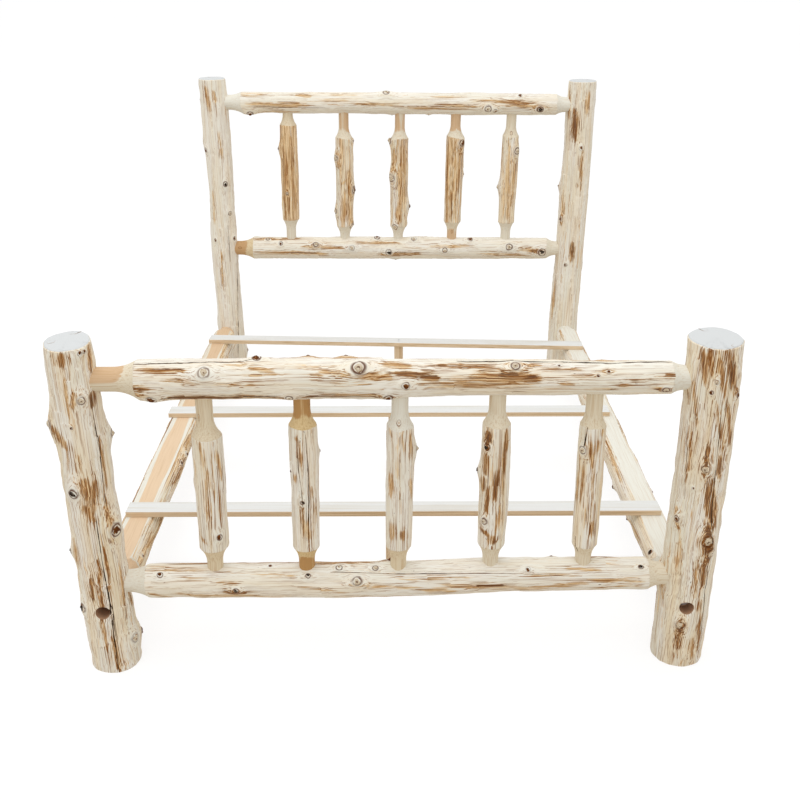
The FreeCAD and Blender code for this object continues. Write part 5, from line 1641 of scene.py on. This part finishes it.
# The photographer's eye: place and view direction in metres, roll in radians,
# and focal length in pixels of a picture 800 pixels wide.
EYE = (0.00249, -3.38292, 1.87853)
VIEW = (0.00246363, 0.90884289, -0.4171313)
ROLL = -0.0018
FOCAL_PIXELS = 974.73
PICTURE_PIXELS = 800
# The floor reaches past the horizon of the view.
FLOOR_HALF = 60
# Light: soft sky strength, and the soft box over the bed: place, side, power.
SKY = 0.88
SOFT_BOX = ((-0.6, -1.2, 6.0), 4.8, 122)


class LOGBED_OT_stage(bpy.types.Operator):
    """Lay the pale floor, the soft light and the camera"""

    bl_idname = "logbed.stage"
    bl_label = "Stage"

    def execute(self, context):
        scene = context.scene
        mesh = bpy.data.meshes.new("studio_floor")
        half = FLOOR_HALF
        mesh.from_pydata(
            [(-half, -half, 0), (half, -half, 0), (half, half, 0), (-half, half, 0)], [],
            [(0, 1, 2, 3)])
        floor = bpy.data.objects.new("studio_floor", mesh)
        scene.collection.objects.link(floor)
        mesh.materials.append(floor_finish(scene.log_bed_colours))
        light_the_studio(scene)
        place_camera(scene)
        scene.view_settings.view_transform = "Standard"
        return {"FINISHED"}


def seen_straight(add):
    """1 for rays from the camera, or through gloss and glass, else 0."""
    path = add("ShaderNodeLightPath").outputs
    gloss = add("ShaderNodeMath", {"operation": "MAXIMUM"}, {
        0: path["Is Glossy Ray"], 1: path["Is Transmission Ray"]})
    return add("ShaderNodeMath", {"operation": "MAXIMUM"}, {
        0: path["Is Camera Ray"], 1: gloss}).outputs[0]


def floor_finish(colours):
    """Matt white paper floor: burns to white where lit, and keeps a soft shadow."""
    finish, tree = new_finish("Matt white studio paper")
    add = partial(add_node, tree)
    lit = add("ShaderNodeBsdfDiffuse", {}, {"Color": colours.floor})
    matt = add("ShaderNodeBsdfDiffuse", {}, {"Color": (SEEN_FLOOR_GREY,) * 3 + (1,)})
    glow = add(
        "ShaderNodeEmission", {}, {"Color": (1, 1, 1, 1), "Strength": SEEN_FLOOR_GLOW})
    bright = add("ShaderNodeAddShader", {}, {0: matt, 1: glow})
    mixed = add("ShaderNodeMixShader", {}, {0: seen_straight(add), 1: lit, 2: bright})
    add("ShaderNodeOutputMaterial", {}, {"Surface": mixed})
    return finish


def light_the_studio(scene):
    """White surroundings, an even sky for the object and one large soft box."""
    world = bpy.data.worlds.new("Studio")
    world.use_nodes = True
    tree = world.node_tree
    tree.nodes.clear()
    add = partial(add_node, tree)
    sky = add("ShaderNodeBackground", {}, {"Color": (1, 1, 1, 1), "Strength": SKY})
    white = add("ShaderNodeBackground", {}, {"Color": (1, 1, 1, 1), "Strength": 1.0})
    mixed = add("ShaderNodeMixShader", {}, {0: seen_straight(add), 1: sky, 2: white})
    add("ShaderNodeOutputWorld", {}, {"Surface": mixed})
    scene.world = world
    place, side, power = SOFT_BOX
    lamp = bpy.data.lights.new("soft_box", "AREA")
    lamp.shape = "SQUARE"
    lamp.size = side
    lamp.energy = power
    box = bpy.data.objects.new("soft_box", lamp)
    box.location = place
    box.rotation_euler = (Vector((0, 0, 0.5)) - Vector(place)).to_track_quat("-Z", "Y").to_euler()
    scene.collection.objects.link(box)


def place_camera(scene):
    """Stand the camera where the photo was taken."""
    forward = Vector(VIEW).normalized()
    level = forward.cross(Vector((0, 0, 1))).normalized()
    above = level.cross(forward)
    right = level * math.cos(ROLL) + above * math.sin(ROLL)
    upward = above * math.cos(ROLL) - level * math.sin(ROLL)
    turn = Matrix((right, upward, -forward)).transposed()
    data = bpy.data.cameras.new("photo_camera")
    data.sensor_width = 36
    data.lens = FOCAL_PIXELS * data.sensor_width / PICTURE_PIXELS
    data.clip_end = 500
    camera = bpy.data.objects.new("photo_camera", data)
    camera.matrix_world = Matrix.Translation(EYE) @ turn.to_4x4()
    scene.collection.objects.link(camera)
    scene.camera = camera


class LOGBED_PT_panel(bpy.types.Panel):
    """Log bed tools"""

    bl_label = "Log Bed"
    bl_idname = "LOGBED_PT_panel"
    bl_space_type = "VIEW_3D"
    bl_region_type = "UI"
    bl_category = "Log Bed"

    def draw(self, context):
        scene = context.scene
        for group in (scene.log_bed_sizes, scene.log_bed_colours):
            box = self.layout.box()
            for name in group.__annotations__:
                box.prop(group, name)
        for operator in OPERATORS:
            self.layout.operator(operator.bl_idname)


OPERATORS = (
    LOGBED_OT_posts, LOGBED_OT_cross_rails, LOGBED_OT_side_rails, LOGBED_OT_spindles,
    LOGBED_OT_knots, LOGBED_OT_slats, LOGBED_OT_steel, LOGBED_OT_stage,
)
CLASSES = (LogBedSizes, LogBedColours) + OPERATORS + (LOGBED_PT_panel,)


def register():
    """Add the add-on's classes, and the bed's sizes and colours on each scene."""
    for kind in CLASSES:
        bpy.utils.register_class(kind)
    bpy.types.Scene.log_bed_sizes = bpy.props.PointerProperty(type=LogBedSizes)
    bpy.types.Scene.log_bed_colours = bpy.props.PointerProperty(type=LogBedColours)


def unregister():
    """Take the sizes, the colours and the classes away again."""
    del bpy.types.Scene.log_bed_colours
    del bpy.types.Scene.log_bed_sizes
    for kind in reversed(CLASSES):
        bpy.utils.unregister_class(kind)


def main():
    """Build the whole bed."""
    register()
    bpy.ops.logbed.posts()
    bpy.ops.logbed.cross_rails()
    bpy.ops.logbed.side_rails()
    bpy.ops.logbed.spindles()
    bpy.ops.logbed.knots()
    bpy.ops.logbed.slats()
    bpy.ops.logbed.steel()
    bpy.ops.logbed.stage()


if __name__ == "__main__":
    main()
